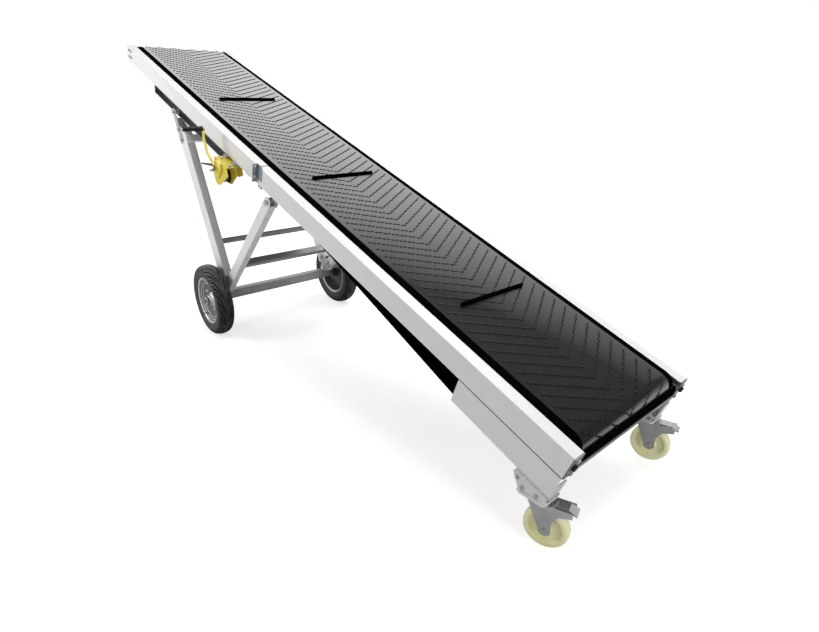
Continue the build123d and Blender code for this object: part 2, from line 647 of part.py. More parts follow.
STRUT_UP = (math.cos(math.radians(STRUT_ANGLE)), math.sin(math.radians(STRUT_ANGLE)))
STRUT_TAILWARD = (-STRUT_UP[1], STRUT_UP[0])
STRUT_LENGTH = (ROLLER_X - HINGE_X) * STRUT_UP[0] + (ROLLER_Z - HINGE_Z) * STRUT_UP[1]
ROLLER_OFFSET = (ROLLER_X - HINGE_X) * STRUT_TAILWARD[0] + (ROLLER_Z - HINGE_Z) * STRUT_TAILWARD[1]
STRUT_PLACE = Location((HINGE_X, 0, HINGE_Z), (0, -STRUT_ANGLE, 0))


def front_leg():
    """Left front leg: flat tube from the hinge up to the guide channel, both ends shaped for the fold."""
    outer = STRUT_SPAN / 2
    inner = outer - STRUT_DEPTH
    half = STRUT_WIDTH / 2
    foot = STRUT_FOOT
    top_tail = STRUT_LENGTH - STRUT_TOP_TAIL
    top_head = STRUT_LENGTH - STRUT_TOP_HEAD
    # Side outline: along the leg from the hinge, and tailward of its centre line
    corners = [(0, half), (-foot, foot / 2), (-foot, -foot * 0.7), (-foot * 0.7, -half),
               (top_head, -half), (top_tail, half)]
    blank = plate(make_face(Polyline(*corners, close=True)), inner, outer)
    inside = half - TUBE_WALL
    bore = slab(-2 * foot, STRUT_LENGTH, inner + TUBE_WALL, outer - TUBE_WALL, -inside, inside)
    pin_hole = rod(PIN_RADIUS + PIN_FIT, 0, 0, inner - TUBE_WALL, outer + TUBE_WALL)
    return STRUT_PLACE * (blank - bore - pin_hole)


def top_cross_beam():
    """Tube across the tail faces of the front legs, near their tops."""
    centre = STRUT_LENGTH - TOP_BEAM_FROM_ROLLER
    half = STRUT_SPAN / 2
    x0, x1 = centre - TOP_BEAM_WIDTH / 2, centre + TOP_BEAM_WIDTH / 2
    z0 = STRUT_WIDTH / 2
    body = slab(x0, x1, -half, half, z0, z0 + TOP_BEAM_DEPTH)
    wall = TUBE_WALL
    bore = slab(x0 + wall, x1 - wall, -half - 1, half + 1, z0 + wall, z0 + TOP_BEAM_DEPTH - wall)
    return STRUT_PLACE * (body - bore)


def strut_crossbar():
    """Folded channel between the front legs, open upwards."""
    inner = STRUT_SPAN / 2 - STRUT_DEPTH
    x = HINGE_X + (STRUT_BAR_HEIGHT - HINGE_Z) * STRUT_UP[0] / STRUT_UP[1]
    half = STRUT_BAR_WIDTH / 2
    low = STRUT_BAR_HEIGHT - STRUT_BAR_DEPTH / 2
    top = low + STRUT_BAR_DEPTH
    body = slab(x - half, x + half, -inner, inner, low, top)
    hollow = slab(x - half + SHEET, x + half - SHEET, -inner, inner, low + SHEET, top)
    return body - hollow


def guide_rollers():
    """Plates on the outer faces of the front legs that carry the rollers into the guide channels."""
    outer = STRUT_SPAN / 2
    face = outer + ROLLER_PLATE
    half = ROLLER_PLATE_WIDTH / 2
    end = half * ROLLER_PLATE_TAPER
    low = STRUT_LENGTH - ROLLER_PLATE_LENGTH
    top = STRUT_LENGTH
    points = [(low, ROLLER_OFFSET - half), (top, ROLLER_OFFSET - end),
              (top, ROLLER_OFFSET + end), (low, ROLLER_OFFSET + half)]
    outline = make_face(Polyline(*points, close=True)) + Pos(top, ROLLER_OFFSET) * Circle(end)
    strap = plate(outline, outer, face)
    roller_in = HALF_WIDTH - CHANNEL_DEPTH + SHEET + ROLLER_INSET
    pin_radius = ROLLER_RADIUS * ROLLER_PIN
    pin = rod(pin_radius, top, ROLLER_OFFSET, roller_in, face + NUT_HEIGHT)
    roller = rod(ROLLER_RADIUS, top, ROLLER_OFFSET, roller_in, roller_in + ROLLER_LENGTH)
    head = hexagon(pin_radius, top, ROLLER_OFFSET, face, face + NUT_HEIGHT)
    return pair(STRUT_PLACE * (strap + pin + roller + head))


def about_y(points):
    """Outline points (distance along Y, radius) as a face to turn about the Y axis."""
    return make_face(Polyline(*[(y, r) for y, r in points], close=True))


def turned(face):
    """Solid of revolution about Y from a face drawn with Y along X and the radius along Y."""
    placed = Plane((0, 0, 0), x_dir=(0, 1, 0), z_dir=(1, 0, 0)) * face
    return revolve(placed, Axis.Y)


def tyre():
    """Left tyre about its own centre: rounded tread and sidewalls down to the bead."""
    half = TYRE_WIDTH / 2
    bead = RIM_RADIUS + BEAD_GAP
    outline = []
    for step in range(TYRE_STEPS + 1):
        angle = math.radians(90) * step / TYRE_STEPS
        across = half * math.sin(angle) ** TYRE_SQUARE
        outline.append((across, TYRE_RADIUS - TYRE_SHOULDER * (1 - math.cos(angle) ** TYRE_SQUARE)))
    outline.append((half - BEAD_INSET, RIM_FLANGE_RADIUS + BEAD_INSET / 2))
    outline.append((RIM_WIDTH / 2 - BEAD_INSET, bead))
    mirrored = [(-y, r) for y, r in reversed(outline[1:])]
    return turned(about_y(outline + mirrored))


def rim():
    """Left rim about its own centre: flanges, dished disc and hub with the axle bore."""
    half = RIM_WIDTH / 2 - RIM_EDGE
    hub = HUB_LENGTH / 2
    sheet = RIM_SHEET
    front = [(hub, STUB_RADIUS + PIN_FIT), (hub, HUB_RADIUS), (2 * sheet, HUB_RADIUS), (sheet, DISC_NECK),
             (DISC_FACE, DISC_RADIUS), (half - sheet, RIM_RADIUS - 2 * sheet), (half, RIM_RADIUS)]
    back = [(-half, RIM_RADIUS), (-half, RIM_RADIUS - sheet), (half - 2 * sheet, RIM_RADIUS - sheet),
            (DISC_FACE - sheet, DISC_RADIUS + sheet), (0, HUB_RADIUS), (-hub, HUB_RADIUS),
            (-hub, STUB_RADIUS + PIN_FIT)]
    return turned(about_y(front + back))


def at_wheel(shape, side):
    """Put a left wheel piece on one side of the machine."""
    placed = Pos(0, WHEEL_Y, AXLE_Z) * shape
    return placed if side == "left" else other_side(placed)


def caster_place(side):
    """Frame of a caster: origin on the ground on the swivel axis, X towards its trailing side."""
    sign = SIDES[side]
    return Location((CASTER_X, sign * CASTER_Y, 0), (0, 0, 180 - CASTER_YAWS[side]))


def caster_mounts():
    """Caster top plates with their swivel races, bolted under the brackets."""
    plates = []
    for sign in SIDES.values():
        top = CASTER_PLATE_TOP
        half_x, half_y = CASTER_PLATE_LENGTH / 2, CASTER_PLATE_WIDTH / 2
        body = slab(-half_x, half_x, -half_y, half_y, top - CASTER_PLATE, top)
        body = chamfer(body.edges().filter_by(Axis.Z), CASTER_EDGE)
        race = Pos(0, 0, top - CASTER_PLATE - RACE_HEIGHT / 2) * Cylinder(SWIVEL_RADIUS, RACE_HEIGHT)
        plates.append(Pos(CASTER_X, sign * CASTER_Y, 0) * (body + race))
    return Compound(children=plates)


def caster_bracket():
    """Left wedge bracket between the caster plate and the sloping underside of the tail panel."""
    drop = -RAIL_HEIGHT - TAIL_PANEL_HEIGHT
    sheet = BRACKET_SHEET
    y0, y1 = HALF_WIDTH - RAIL_FLANGE, HALF_WIDTH + BRACKET_LIP
    slope = slab(0, BRACKET_STRIP, y0, y1, drop - sheet, drop)
    tail_plate = slab(-sheet, 0, y0 + sheet, HALF_WIDTH + 1, drop - sheet, drop + BRACKET_TAIL)
    half = CASTER_PLATE_LENGTH / 2
    tail_x, head_x = CASTER_X - half, CASTER_X + half
    side = CASTER_PLATE_WIDTH / 2
    base = slab(tail_x, head_x, CASTER_Y - side, CASTER_Y + side, CASTER_PLATE_TOP, CASTER_PLATE_TOP + sheet)
    low = CASTER_PLATE_TOP + sheet / 2
    start, end = bed_point(0, drop - sheet / 2), bed_point(BRACKET_STRIP, drop - sheet / 2)
    web = make_face(Polyline(start, end, (head_x, low), (tail_x, low), close=True))
    piece = on_bed(slope + tail_plate) + base
    for y in (CASTER_Y - side / 2, HALF_WIDTH + BRACKET_LIP - sheet):
        piece += plate(web, y, y + sheet)
    return piece


def caster_fork(side):
    """Swivelling fork with its crown, winged sides, axle bolt and brake pedal."""
    trail = CASTER_TRAIL
    top = CASTER_PLATE_TOP - CASTER_PLATE - RACE_HEIGHT - BODY_GAP
    low = top - CROWN_SHEET
    inner = CASTER_WIDTH / 2 + FORK_GAP
    outer = inner + FORK_SHEET
    eye = FORK_EYE_RADIUS
    wing_low = top - FORK_WING_HEIGHT
    corners = [(-FORK_LEAD, top), (FORK_WING, top), (FORK_WING, wing_low),
               (trail + 2 * eye, wing_low - eye / 2), (trail + eye, CASTER_RADIUS + 2 * eye),
               (trail + eye, CASTER_RADIUS), (trail - eye, CASTER_RADIUS)]
    outline = make_face(Polyline(*corners, close=True)) + Pos(trail, CASTER_RADIUS) * Circle(eye)
    side_plate = plate(outline, inner, outer)
    crown = slab(-FORK_LEAD, PEDAL_START, -outer, outer, low, top)
    bolt_end = outer + FORK_BOLT_END
    bolt = rod(AXLE_BOLT_RADIUS, trail, CASTER_RADIUS, -bolt_end, bolt_end)
    nut = hexagon(AXLE_BOLT_RADIUS, trail, CASTER_RADIUS, outer, outer + FORK_NUT)
    half = PEDAL_WIDTH / 2
    # Side outline of the pedal: rises from the crown and bends down to its tab
    step = PEDAL_RISE
    pedal_points = [(PEDAL_START - 2 * step, low), (PEDAL_START, top + step), (PEDAL_END, top + step),
                    (PEDAL_END + PEDAL_TAB, top - 2 * step), (PEDAL_END + PEDAL_TAB, top - 3.5 * step),
                    (PEDAL_END, top - step), (PEDAL_START, top - step)]
    pedal = plate(make_face(Polyline(*pedal_points, close=True)), -half, half)
    axle_bar = rod(AXLE_BOLT_RADIUS, (PEDAL_START + PEDAL_END) / 2, top - 2 * step, -outer, outer)
    fork = side_plate + other_side(side_plate) + crown + bolt + nut + other_side(nut)
    return caster_place(side) * (fork + pedal + axle_bar)


def caster_wheel(side):
    """Moulded caster wheel with recessed webs and a hub."""
    half = CASTER_WIDTH / 2
    hub = half + FORK_GAP - BODY_GAP
    web = CASTER_WEB / 2
    edge = CASTER_RADIUS - CASTER_EDGE
    right = [(hub, AXLE_BOLT_RADIUS + PIN_FIT), (hub, CASTER_HUB), (web, CASTER_HUB + CASTER_DRAFT),
             (web, CASTER_RECESS - CASTER_DRAFT), (half, CASTER_RECESS), (half, edge),
             (half - CASTER_EDGE, CASTER_RADIUS)]
    left = [(-y, r) for y, r in reversed(right)]
    wheel = turned(about_y(right + left))
    return caster_place(side) * Pos(CASTER_TRAIL, 0, CASTER_RADIUS) * wheel


def winch_cheek(lobe, corners, y0):
    """Side plate of the winch frame: its upper corners and a rounded lobe below them."""
    u, n, radius = lobe
    outline = make_hull((Pos(u, n) * Circle(radius)).edges() + Polyline(*corners, close=True).edges())
    return plate(outline, y0, y0 + WINCH_SHEET)


def winch_frame():
    """Folded winch frame: base plate with three hanging cheeks."""
    top = WINCH_PLATE_N
    outer = WINCH_OUTER_Y - WINCH_SHEET
    middle = outer - WINCH_DRUM_LENGTH - WINCH_SHEET
    tail, head = WINCH_TAIL_U, WINCH_HEAD_U
    heel = (tail - CHEEK_HEEL / 2, top - CHEEK_HEEL)
    frame = slab(tail, head, WINCH_INNER_Y, WINCH_OUTER_Y, top - WINCH_SHEET, top)
    frame += winch_cheek(OUTER_LOBE, [(tail, top), (head, top), heel], outer)
    frame += winch_cheek(MIDDLE_LOBE, [(tail, top), (head - CHEEK_HEEL, top), heel], middle)
    frame += winch_cheek(INNER_LOBE, [(tail, top), (tail + 1.5 * CHEEK_HEEL, top), heel], WINCH_INNER_Y)
    frame -= rod(STUB_RADIUS + PIN_FIT, WINCH_DRUM_U, WINCH_DRUM_N, middle - 1, WINCH_OUTER_Y + 1)
    frame -= rod(CRANK_SHAFT_RADIUS + PIN_FIT, WINCH_HUB_U, WINCH_HUB_N, middle - 1, WINCH_OUTER_Y + 1)
    return on_bed(frame)


def winch_bracket():
    """Galvanised blocks that bolt the winch's base plate under the rail."""
    y1 = HALF_WIDTH + WINCH_BLOCK_OUTSET
    blocks = []
    for u in (WINCH_TAIL_U + WINCH_BLOCK_INSET, WINCH_HEAD_U - WINCH_BLOCK):
        blocks.append(on_bed(slab(u, u + WINCH_BLOCK, WINCH_INNER_Y, y1, WINCH_PLATE_N, -RAIL_HEIGHT)))
    return Compound(children=blocks)


def winch_cover():
    """Round brake cover on the outer cheek, about the crank shaft."""
    y0 = WINCH_OUTER_Y
    body = Cylinder(COVER_RADIUS, COVER_DEPTH)
    body = chamfer(body.edges().sort_by(Axis.Z)[0], COVER_DEPTH / 3)
    body = Pos(WINCH_HUB_U, y0 + COVER_DEPTH / 2, WINCH_HUB_N) * Rot(90, 0, 0) * body
    y1 = y0 + COVER_DEPTH + COVER_BOSS
    boss = rod(2 * CRANK_SHAFT_RADIUS, WINCH_HUB_U, WINCH_HUB_N, y0, y1)
    bore = rod(CRANK_SHAFT_RADIUS + PIN_FIT, WINCH_HUB_U, WINCH_HUB_N, y0 - 1, y1 + 1)
    return on_bed(body + boss - bore)


def winch_drum():
    """Drum with the wound cable, on its shaft between the cheeks."""
    y1 = WINCH_OUTER_Y - WINCH_SHEET - BODY_GAP
    y0 = y1 - WINCH_DRUM_LENGTH + 2 * BODY_GAP
    body = rod(WINCH_DRUM_RADIUS, WINCH_DRUM_U, WINCH_DRUM_N, y0, y1)
    shaft = rod(STUB_RADIUS, WINCH_DRUM_U, WINCH_DRUM_N, y0 - 2 * WINCH_SHEET, WINCH_OUTER_Y)
    return on_bed(body + shaft)


# Crank arm from its hub to the grip: places from the hub, along the bed and above it
CRANK_POINTS = [(0, 0), (34, 22), (98, 40), (142, 96), (148, 150)]
CRANK_BENDS = [30, 60, 40]
CRANK_Y = WINCH_OUTER_Y + COVER_DEPTH + COVER_BOSS + BODY_GAP


def crank_arm():
    """Flat cranked arm with its shaft."""
    path = FilletPolyline(*CRANK_POINTS, radius=CRANK_BENDS)
    eye = Circle(CRANK_BAR_WIDTH * 0.7)
    top = Pos(*CRANK_POINTS[-1]) * Circle(CRANK_BAR_WIDTH / 2)
    bar = plate(trace(path, CRANK_BAR_WIDTH) + eye + top, CRANK_Y, CRANK_Y + CRANK_BAR)
    shaft_in = WINCH_OUTER_Y - WINCH_SHEET - WINCH_DRUM_LENGTH / 2
    shaft = rod(CRANK_SHAFT_RADIUS, 0, 0, shaft_in, CRANK_Y + CRANK_BAR + NUT_HEIGHT)
    return on_bed(Pos(WINCH_HUB_U, 0, WINCH_HUB_N) * (bar + shaft))


def crank_grip():
    """Round grip on the end of the crank arm."""
    u = WINCH_HUB_U + CRANK_POINTS[-1][0]
    n = WINCH_HUB_N + CRANK_POINTS[-1][1]
    y0 = CRANK_Y + CRANK_BAR
    grip = rod(GRIP_RADIUS, u, n, y0, y0 + GRIP_LENGTH)
    return on_bed(chamfer(grip.edges().filter_by(GeomType.CIRCLE), GRIP_CHAMFER))


def bracket_strap():
    """Strap of the side bracket across the rail's top, flush in its seat."""
    end = BRACKET_U - SHEET
    inner = HALF_WIDTH - RAIL_FLANGE
    return on_bed(slab(end - STRAP_WIDTH, end, inner, HALF_WIDTH, -STRAP_THICKNESS, 0))


def side_bracket():
    """Galvanised angle bracket on the outer face of the left rail, with its strap over the rail."""
    y = HALF_WIDTH
    top = BRACKET_TOP
    start = BRACKET_U - BRACKET_BACK
    back = slab(start, BRACKET_U, y, y + SHEET, top - BRACKET_BACK_HEIGHT, top)
    flange = slab(BRACKET_U - SHEET, BRACKET_U, y, y + BRACKET_DEPTH, top - BRACKET_HEIGHT, top)
    return on_bed(back + flange) + bracket_strap()


def wing_knob():
    """Clamping knob under the left rail."""
    v = HALF_WIDTH - KNOB_INSET
    low = -RAIL_HEIGHT - KNOB_STEM
    stem = Pos(KNOB_U, v, -RAIL_HEIGHT - KNOB_STEM / 2) * Cylinder(KNOB_STEM_RADIUS, KNOB_STEM)
    wing = Pos(KNOB_U, v, low - KNOB_SIZE[2] / 2) * Box(*KNOB_SIZE)
    return on_bed(stem + wing)


nodes = {}
for side, piece in both_sides(side_rail()).items():
    nodes[f"side_rail_{side}"] = piece
nodes["side_rail_left"] -= bracket_strap()
for side, piece in both_sides(tail_panel()).items():
    nodes[f"tail_panel_{side}"] = piece
for side, piece in both_sides(guide_channel()).items():
    nodes[f"guide_channel_{side}"] = piece
for side, piece in both_sides(caster_bracket()).items():
    nodes[f"caster_bracket_{side}"] = piece
for side, piece in both_sides(rear_leg()).items():
    nodes[f"rear_leg_{side}"] = piece
for side, piece in both_sides(front_leg()).items():
    nodes[f"front_leg_{side}"] = piece
for side in SIDES:
    nodes[f"tyre_{side}"] = at_wheel(tyre(), side)
    nodes[f"rim_{side}"] = at_wheel(rim(), side)
    nodes[f"caster_fork_{side}"] = caster_fork(side)
    nodes[f"caster_wheel_{side}"] = caster_wheel(side)
nodes["slider_bed"] = slider_bed()
nodes["cross_members"] = cross_members()
nodes["belt_loop"] = belt_loop()
nodes["head_drum"] = drum(HEAD_U)
nodes["tail_pulley"] = drum(TAIL_U)
nodes["head_bearings"] = head_bearings()
nodes["tail_take_ups"] = tail_take_ups()
nodes["tail_end_frame"] = tail_end_frame()
nodes["snub_roller"] = snub_roller()
nodes["return_idler"] = return_idler()
nodes["pivot_lugs"] = pivot_lugs()
nodes["caster_mounts"] = caster_mounts()
nodes["axle_beam"] = axle_beam()
nodes["rear_crossbar"] = rear_crossbar()
nodes["hinge_plates"] = hinge_plates()
nodes["top_cross_beam"] = top_cross_beam()
nodes["strut_crossbar"] = strut_crossbar()
nodes["guide_rollers"] = guide_rollers()
nodes["winch_frame"] = winch_frame()
nodes["winch_bracket"] = winch_bracket()
nodes["winch_cover"] = winch_cover()
nodes["winch_drum"] = winch_drum()
nodes["crank_arm"] = crank_arm()
nodes["crank_grip"] = crank_grip()
nodes["side_bracket"] = side_bracket()
nodes["wing_knob"] = wing_knob()

os.makedirs("parts", exist_ok=True)
for name, shape in nodes.items():
    export_step(shape, f"parts/{name}.step")
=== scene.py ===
"""Studio scene of a portable belt conveyor.

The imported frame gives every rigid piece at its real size. This script finishes their surfaces,
models the ribbed belt, the tyre tread, the caster wheels, the wound cable, the fasteners and other
small pieces, and sets the light and the camera. All sizes are in metres: X runs level towards the
high head end, Y towards the winch side, and Z up.
"""

import json
import logging
import math
from dataclasses import dataclass
from enum import Enum
from typing import Callable, Sequence

import bpy
from mathutils import Matrix, Vector


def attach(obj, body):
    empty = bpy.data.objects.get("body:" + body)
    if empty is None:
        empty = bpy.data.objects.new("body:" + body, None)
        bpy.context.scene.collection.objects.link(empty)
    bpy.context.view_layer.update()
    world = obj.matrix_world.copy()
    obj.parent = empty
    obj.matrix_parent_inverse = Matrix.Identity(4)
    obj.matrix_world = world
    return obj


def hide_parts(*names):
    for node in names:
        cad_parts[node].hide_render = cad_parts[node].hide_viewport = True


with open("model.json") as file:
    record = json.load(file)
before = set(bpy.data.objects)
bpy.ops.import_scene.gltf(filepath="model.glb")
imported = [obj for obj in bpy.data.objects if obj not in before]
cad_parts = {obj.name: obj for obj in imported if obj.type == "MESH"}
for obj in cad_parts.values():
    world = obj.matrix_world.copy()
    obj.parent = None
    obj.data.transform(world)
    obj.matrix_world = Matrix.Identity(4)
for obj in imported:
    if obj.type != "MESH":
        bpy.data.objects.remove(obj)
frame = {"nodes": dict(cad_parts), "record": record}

LOG = logging.getLogger("conveyor")
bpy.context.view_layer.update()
Colour = tuple[float, float, float]
Place = tuple[float, float, float]
Stretch = tuple[float, float, float]
# A turned section: each point's place along the axis and its radius
Section = Sequence[tuple[float, float]]
Piece = bpy.types.Object

# The machine's two sides, with the sign of Y on each
SIDES = (("left", 1.0), ("right", -1.0))
SIGNS = (1.0, -1.0)
WHITE_LIGHT = (1.0, 1.0, 1.0, 1.0)


class Axis(Enum):
    """Directions of faces and bolt heads, in the axes that their table is written in."""

    ALONG = (1.0, 0.0, 0.0)
    BACK = (-1.0, 0.0, 0.0)
    LEFT = (0.0, 1.0, 0.0)
    UP = (0.0, 0.0, 1.0)
    DOWN = (0.0, 0.0, -1.0)

    @property
    def vector(self) -> Vector:
        """Give the direction as a vector."""
        return Vector(self.value)


@dataclass(frozen=True)
class Incline:
    """Sloping frame that pieces are modelled in: where it starts and how steeply it rises."""

    x: float
    z: float
    slope: float

    def matrix(self) -> Matrix:
        """Turn and move a piece from the frame's own axes into the machine's."""
        turn = Matrix.Rotation(-self.slope, 4, "Y")
        return Matrix.Translation((self.x, 0.0, self.z)) @ turn


# The bed from its tail end at the rails' top edge, and the front legs from their hinge
BED = Incline(-2.493, 0.3916, math.radians(20.0))
STRUT = Incline(-0.012, 0.3515, math.radians(67.7))


class Bench:
    """Hand tools on one object at a time: primitives, selections and modifiers."""

    # Least cosine between a face's normal and the way that it is said to face
    FACING = 0.9
    # Points nearer than this are one point
    DOUBLED = 0.00001
    # Edges sharper than this are rounded by a bevel
    SHARP = math.radians(40.0)

    @staticmethod
    def clear() -> None:
        """Leave edit mode and deselect everything."""
        if bpy.context.object is not None and bpy.context.object.mode != "OBJECT":
            bpy.ops.object.mode_set(mode="OBJECT")
        bpy.ops.object.select_all(action="DESELECT")

    @staticmethod
    def take(*pieces: Piece) -> Piece:
        """Select the given pieces and make the last one active.

        Args:
            pieces: objects to select.

        Returns:
            The active object.
        """
        Bench.clear()
        for piece in pieces:
            piece.select_set(True)
        bpy.context.view_layer.objects.active = pieces[-1]
        return pieces[-1]

    @staticmethod
    def settle(piece: Piece) -> Piece:
        """Move a piece's place, turn and size into its mesh."""
        Bench.take(piece)
        bpy.ops.object.transform_apply(location=True, rotation=True, scale=True)
        return piece

    @staticmethod
    def settle_at(piece: Piece, place: Matrix) -> Piece:
        """Move a piece by a matrix that goes into its mesh."""
        piece.matrix_world = place
        return Bench.settle(piece)

    @staticmethod
    def settle_new(name: str) -> Piece:
        """Name the primitive that was just added and move its place into its mesh."""
        bpy.context.object.name = name
        return Bench.settle(bpy.context.object)

    @staticmethod
    def block(name: str, low: Sequence[float], high: Sequence[float]) -> Piece:
        """Box between two corners.

        Args:
            name: name of the new object.
            low: lowest corner.
            high: highest corner.

        Returns:
            The new box, its place in its mesh.
        """
        Bench.clear()
        low_corner, high_corner = Vector(low), Vector(high)
        bpy.ops.mesh.primitive_cube_add(size=1.0, location=(low_corner + high_corner) / 2)
        bpy.context.object.scale = high_corner - low_corner
        return Bench.settle_new(name)

    @staticmethod
    def rod(name: str, radius: float, start: Sequence[float], end: Sequence[float],
            sides: int) -> Piece:
        """Round bar between two points.

        Args:
            name: name of the new object.
            radius: radius of the bar.
            start: centre of one end.
            end: centre of the other end.
            sides: number of flats round the bar.

        Returns:
            The new bar, its place in its mesh.
        """
        Bench.clear()
        first, last = Vector(start), Vector(end)
        turn = (last - first).to_track_quat("Z", "Y").to_euler()
        bpy.ops.mesh.primitive_cylinder_add(vertices=sides, radius=radius,
                                            depth=(last - first).length,
                                            location=(first + last) / 2, rotation=turn)
        return Bench.settle_new(name)

    @staticmethod
    def ring(name: str, centre: Sequence[float], major: float, minor: float,
             axis: Sequence[float], around: int = 48, section: int = 10) -> Piece:
        """Torus about an axis.

        Args:
            name: name of the new object.
            centre: centre of the ring.
            major: radius of the ring's centre line.
            minor: radius of its section.
            axis: direction that the ring turns about.
            around: steps round the ring.
            section: steps round its section.

        Returns:
            The new ring, its place in its mesh.
        """
        Bench.clear()
        turn = Vector(axis).to_track_quat("Z", "Y").to_euler()
        bpy.ops.mesh.primitive_torus_add(major_radius=major, minor_radius=minor,
                                         major_segments=around, minor_segments=section,
                                         location=Vector(centre), rotation=turn)
        return Bench.settle_new(name)

    @staticmethod
    def lathe(name: str, section: Section, steps: int, at: float = 0.0,
              turns: Sequence[float] | None = None) -> Piece:
        """Turn a closed section about the Y axis.

        Args:
            name: name of the new object.
            section: closed row of points, each its place along Y and its radius.
            steps: facets round the axis.
            at: place along Y that the section is measured from.
            turns: angle of each point round the axis, where the lines across are swept.

        Returns:
            The turned piece, its faces outwards.
        """
        Bench.clear()
        bpy.ops.mesh.primitive_circle_add(vertices=len(section), fill_type="NOTHING")
        piece = bpy.context.object
        piece.name = name
        angles = turns or [0.0] * len(section)
        for point, (along, reach), turn in zip(piece.data.vertices, section, angles):
            point.co = (reach * math.cos(turn), at + along, reach * math.sin(turn))
        Bench.edit_all(piece)
        bpy.ops.mesh.spin(steps=steps, angle=2.0 * math.pi, center=(0.0, 0.0, 0.0),
                          axis=Axis.LEFT.value)
        bpy.ops.object.mode_set(mode="OBJECT")
        return Bench.outwards(piece)

    @staticmethod
    def modify(piece: Piece, kind: str, **values: object) -> Piece:
        """Add a modifier with the given values and apply it.

        Args:
            piece: object to change.
            kind: modifier type.
            values: modifier properties by name.

        Returns:
            The changed object.
        """
        Bench.take(piece)
        modifier = piece.modifiers.new(kind.title(), kind)
        for name, value in values.items():
            setattr(modifier, name, value)
        bpy.ops.object.modifier_apply(modifier=modifier.name)
        return piece

    @staticmethod
    def repeat(piece: Piece, count: int, step: Sequence[float]) -> Piece:
        """Repeat a piece, each copy one step from the last.

        Args:
            piece: object to repeat.
            count: number of copies, the first one among them.
            step: way from one copy to the next.

        Returns:
            The row as one object.
        """
        return Bench.modify(piece, "ARRAY", count=count, use_relative_offset=False,
                            use_constant_offset=True, constant_offset_displace=step)

    @staticmethod
    def bevel(piece: Piece, width: float, segments: int = 2) -> Piece:
        """Round the sharp edges of a piece.

        Args:
            piece: object to round.
            width: width of the rounding.
            segments: facets across it.

        Returns:
            The rounded object.
        """
        return Bench.modify(piece, "BEVEL", width=width, segments=segments,
                            limit_method="ANGLE", angle_limit=Bench.SHARP)

    @staticmethod
    def smooth(piece: Piece, angle: float) -> None:
        """Shade a piece smooth where its faces meet at less than the angle, in degrees."""
        Bench.take(piece)
        bpy.ops.object.shade_smooth_by_angle(angle=math.radians(angle))

    @staticmethod
    def join(name: str, pieces: Sequence[Piece]) -> Piece:
        """Join pieces into one object.

        Args:
            name: name of the joined object.
            pieces: objects to join.

        Returns:
            The joined object.
        """
        whole = Bench.take(*pieces)
        if len(pieces) > 1:
            bpy.ops.object.join()
        whole.name = name
        return whole

    @staticmethod
    def copy(piece: Piece, place: Matrix, name: str = "") -> Piece:
        """Copy a piece with its own mesh, moved by a matrix that goes into the mesh.

        Args:
            piece: object to copy.
            place: movement of the copy.
            name: name of the copy, where it is a piece of its own.

        Returns:
            The copy.
        """
        twin = piece.copy()
        twin.data = piece.data.copy()
        if name:
            twin.name = name
        bpy.context.collection.objects.link(twin)
        Bench.settle_at(twin, place)
        if place.determinant() < 0:
            Bench.outwards(twin)
        return twin

    @staticmethod
    def link(name: str, data: bpy.types.ID) -> Piece:
        """Make an object of a curve, lamp or camera and link it to the scene.

        Args:
            name: name of the new object.
            data: what it holds.

        Returns:
            The new object.
        """
        holder = bpy.data.objects.new(name, data)
        bpy.context.collection.objects.link(holder)
        return holder

    @staticmethod
    def drop(*pieces: Piece) -> None:
        """Remove helper objects that aren't part of the machine."""
        Bench.clear()
        for piece in pieces:
            bpy.data.objects.remove(piece, do_unlink=True)

    @staticmethod
    def edit_all(piece: Piece) -> None:
        """Enter edit mode with the whole piece selected."""
        Bench.take(piece)
        bpy.ops.object.mode_set(mode="EDIT")
        bpy.ops.mesh.select_all(action="SELECT")

    @staticmethod
    def weld(piece: Piece, reach: float = DOUBLED) -> Piece:
        """Merge the points of a piece that lie closer than the reach.

        Args:
            piece: object to change.
            reach: greatest distance between doubled points.

        Returns:
            The changed object.
        """
        Bench.edit_all(piece)
        bpy.ops.mesh.remove_doubles(threshold=reach)
        bpy.ops.object.mode_set(mode="OBJECT")
        return piece

    @staticmethod
    def outwards(piece: Piece) -> Piece:
        """Merge doubled points and turn every face outwards.

        Args:
            piece: object to change.

        Returns:
            The changed object.
        """
        Bench.weld(piece)
        Bench.edit_all(piece)
        bpy.ops.mesh.normals_make_consistent(inside=False)
        bpy.ops.object.mode_set(mode="OBJECT")
        return piece

    @staticmethod
    def select_faces(piece: Piece, test: Callable[[bpy.types.MeshPolygon], bool]) -> None:
        """Enter face mode with the faces that pass a test selected.

        Args:
            piece: object to select on.
            test: tells whether a face is wanted.
        """
        Bench.take(piece)
        bpy.ops.object.mode_set(mode="EDIT")
        bpy.ops.mesh.select_mode(type="FACE")
        bpy.ops.mesh.select_all(action="DESELECT")
        bpy.ops.object.mode_set(mode="OBJECT")
        for face in piece.data.polygons:
            face.select = test(face)
        bpy.ops.object.mode_set(mode="EDIT")

    @staticmethod
    def select_side(piece: Piece, side: Axis) -> None:
        """Enter face mode with the faces on one side of a piece selected."""
        way = side.vector
        Bench.select_faces(piece, lambda face: face.normal.dot(way) > Bench.FACING)

    @staticmethod
    def taper(piece: Piece, side: Axis, size: Sequence[float]) -> Piece:
        """Resize the faces on one side of a piece about their middle.

        Args:
            piece: object to change.
            side: the way that the faces face.
            size: new size along each axis, as a share of the old.

        Returns:
            The changed object.
        """
        Bench.select_side(piece, side)
        bpy.ops.transform.resize(value=size)
        Bench.clear()
        return piece

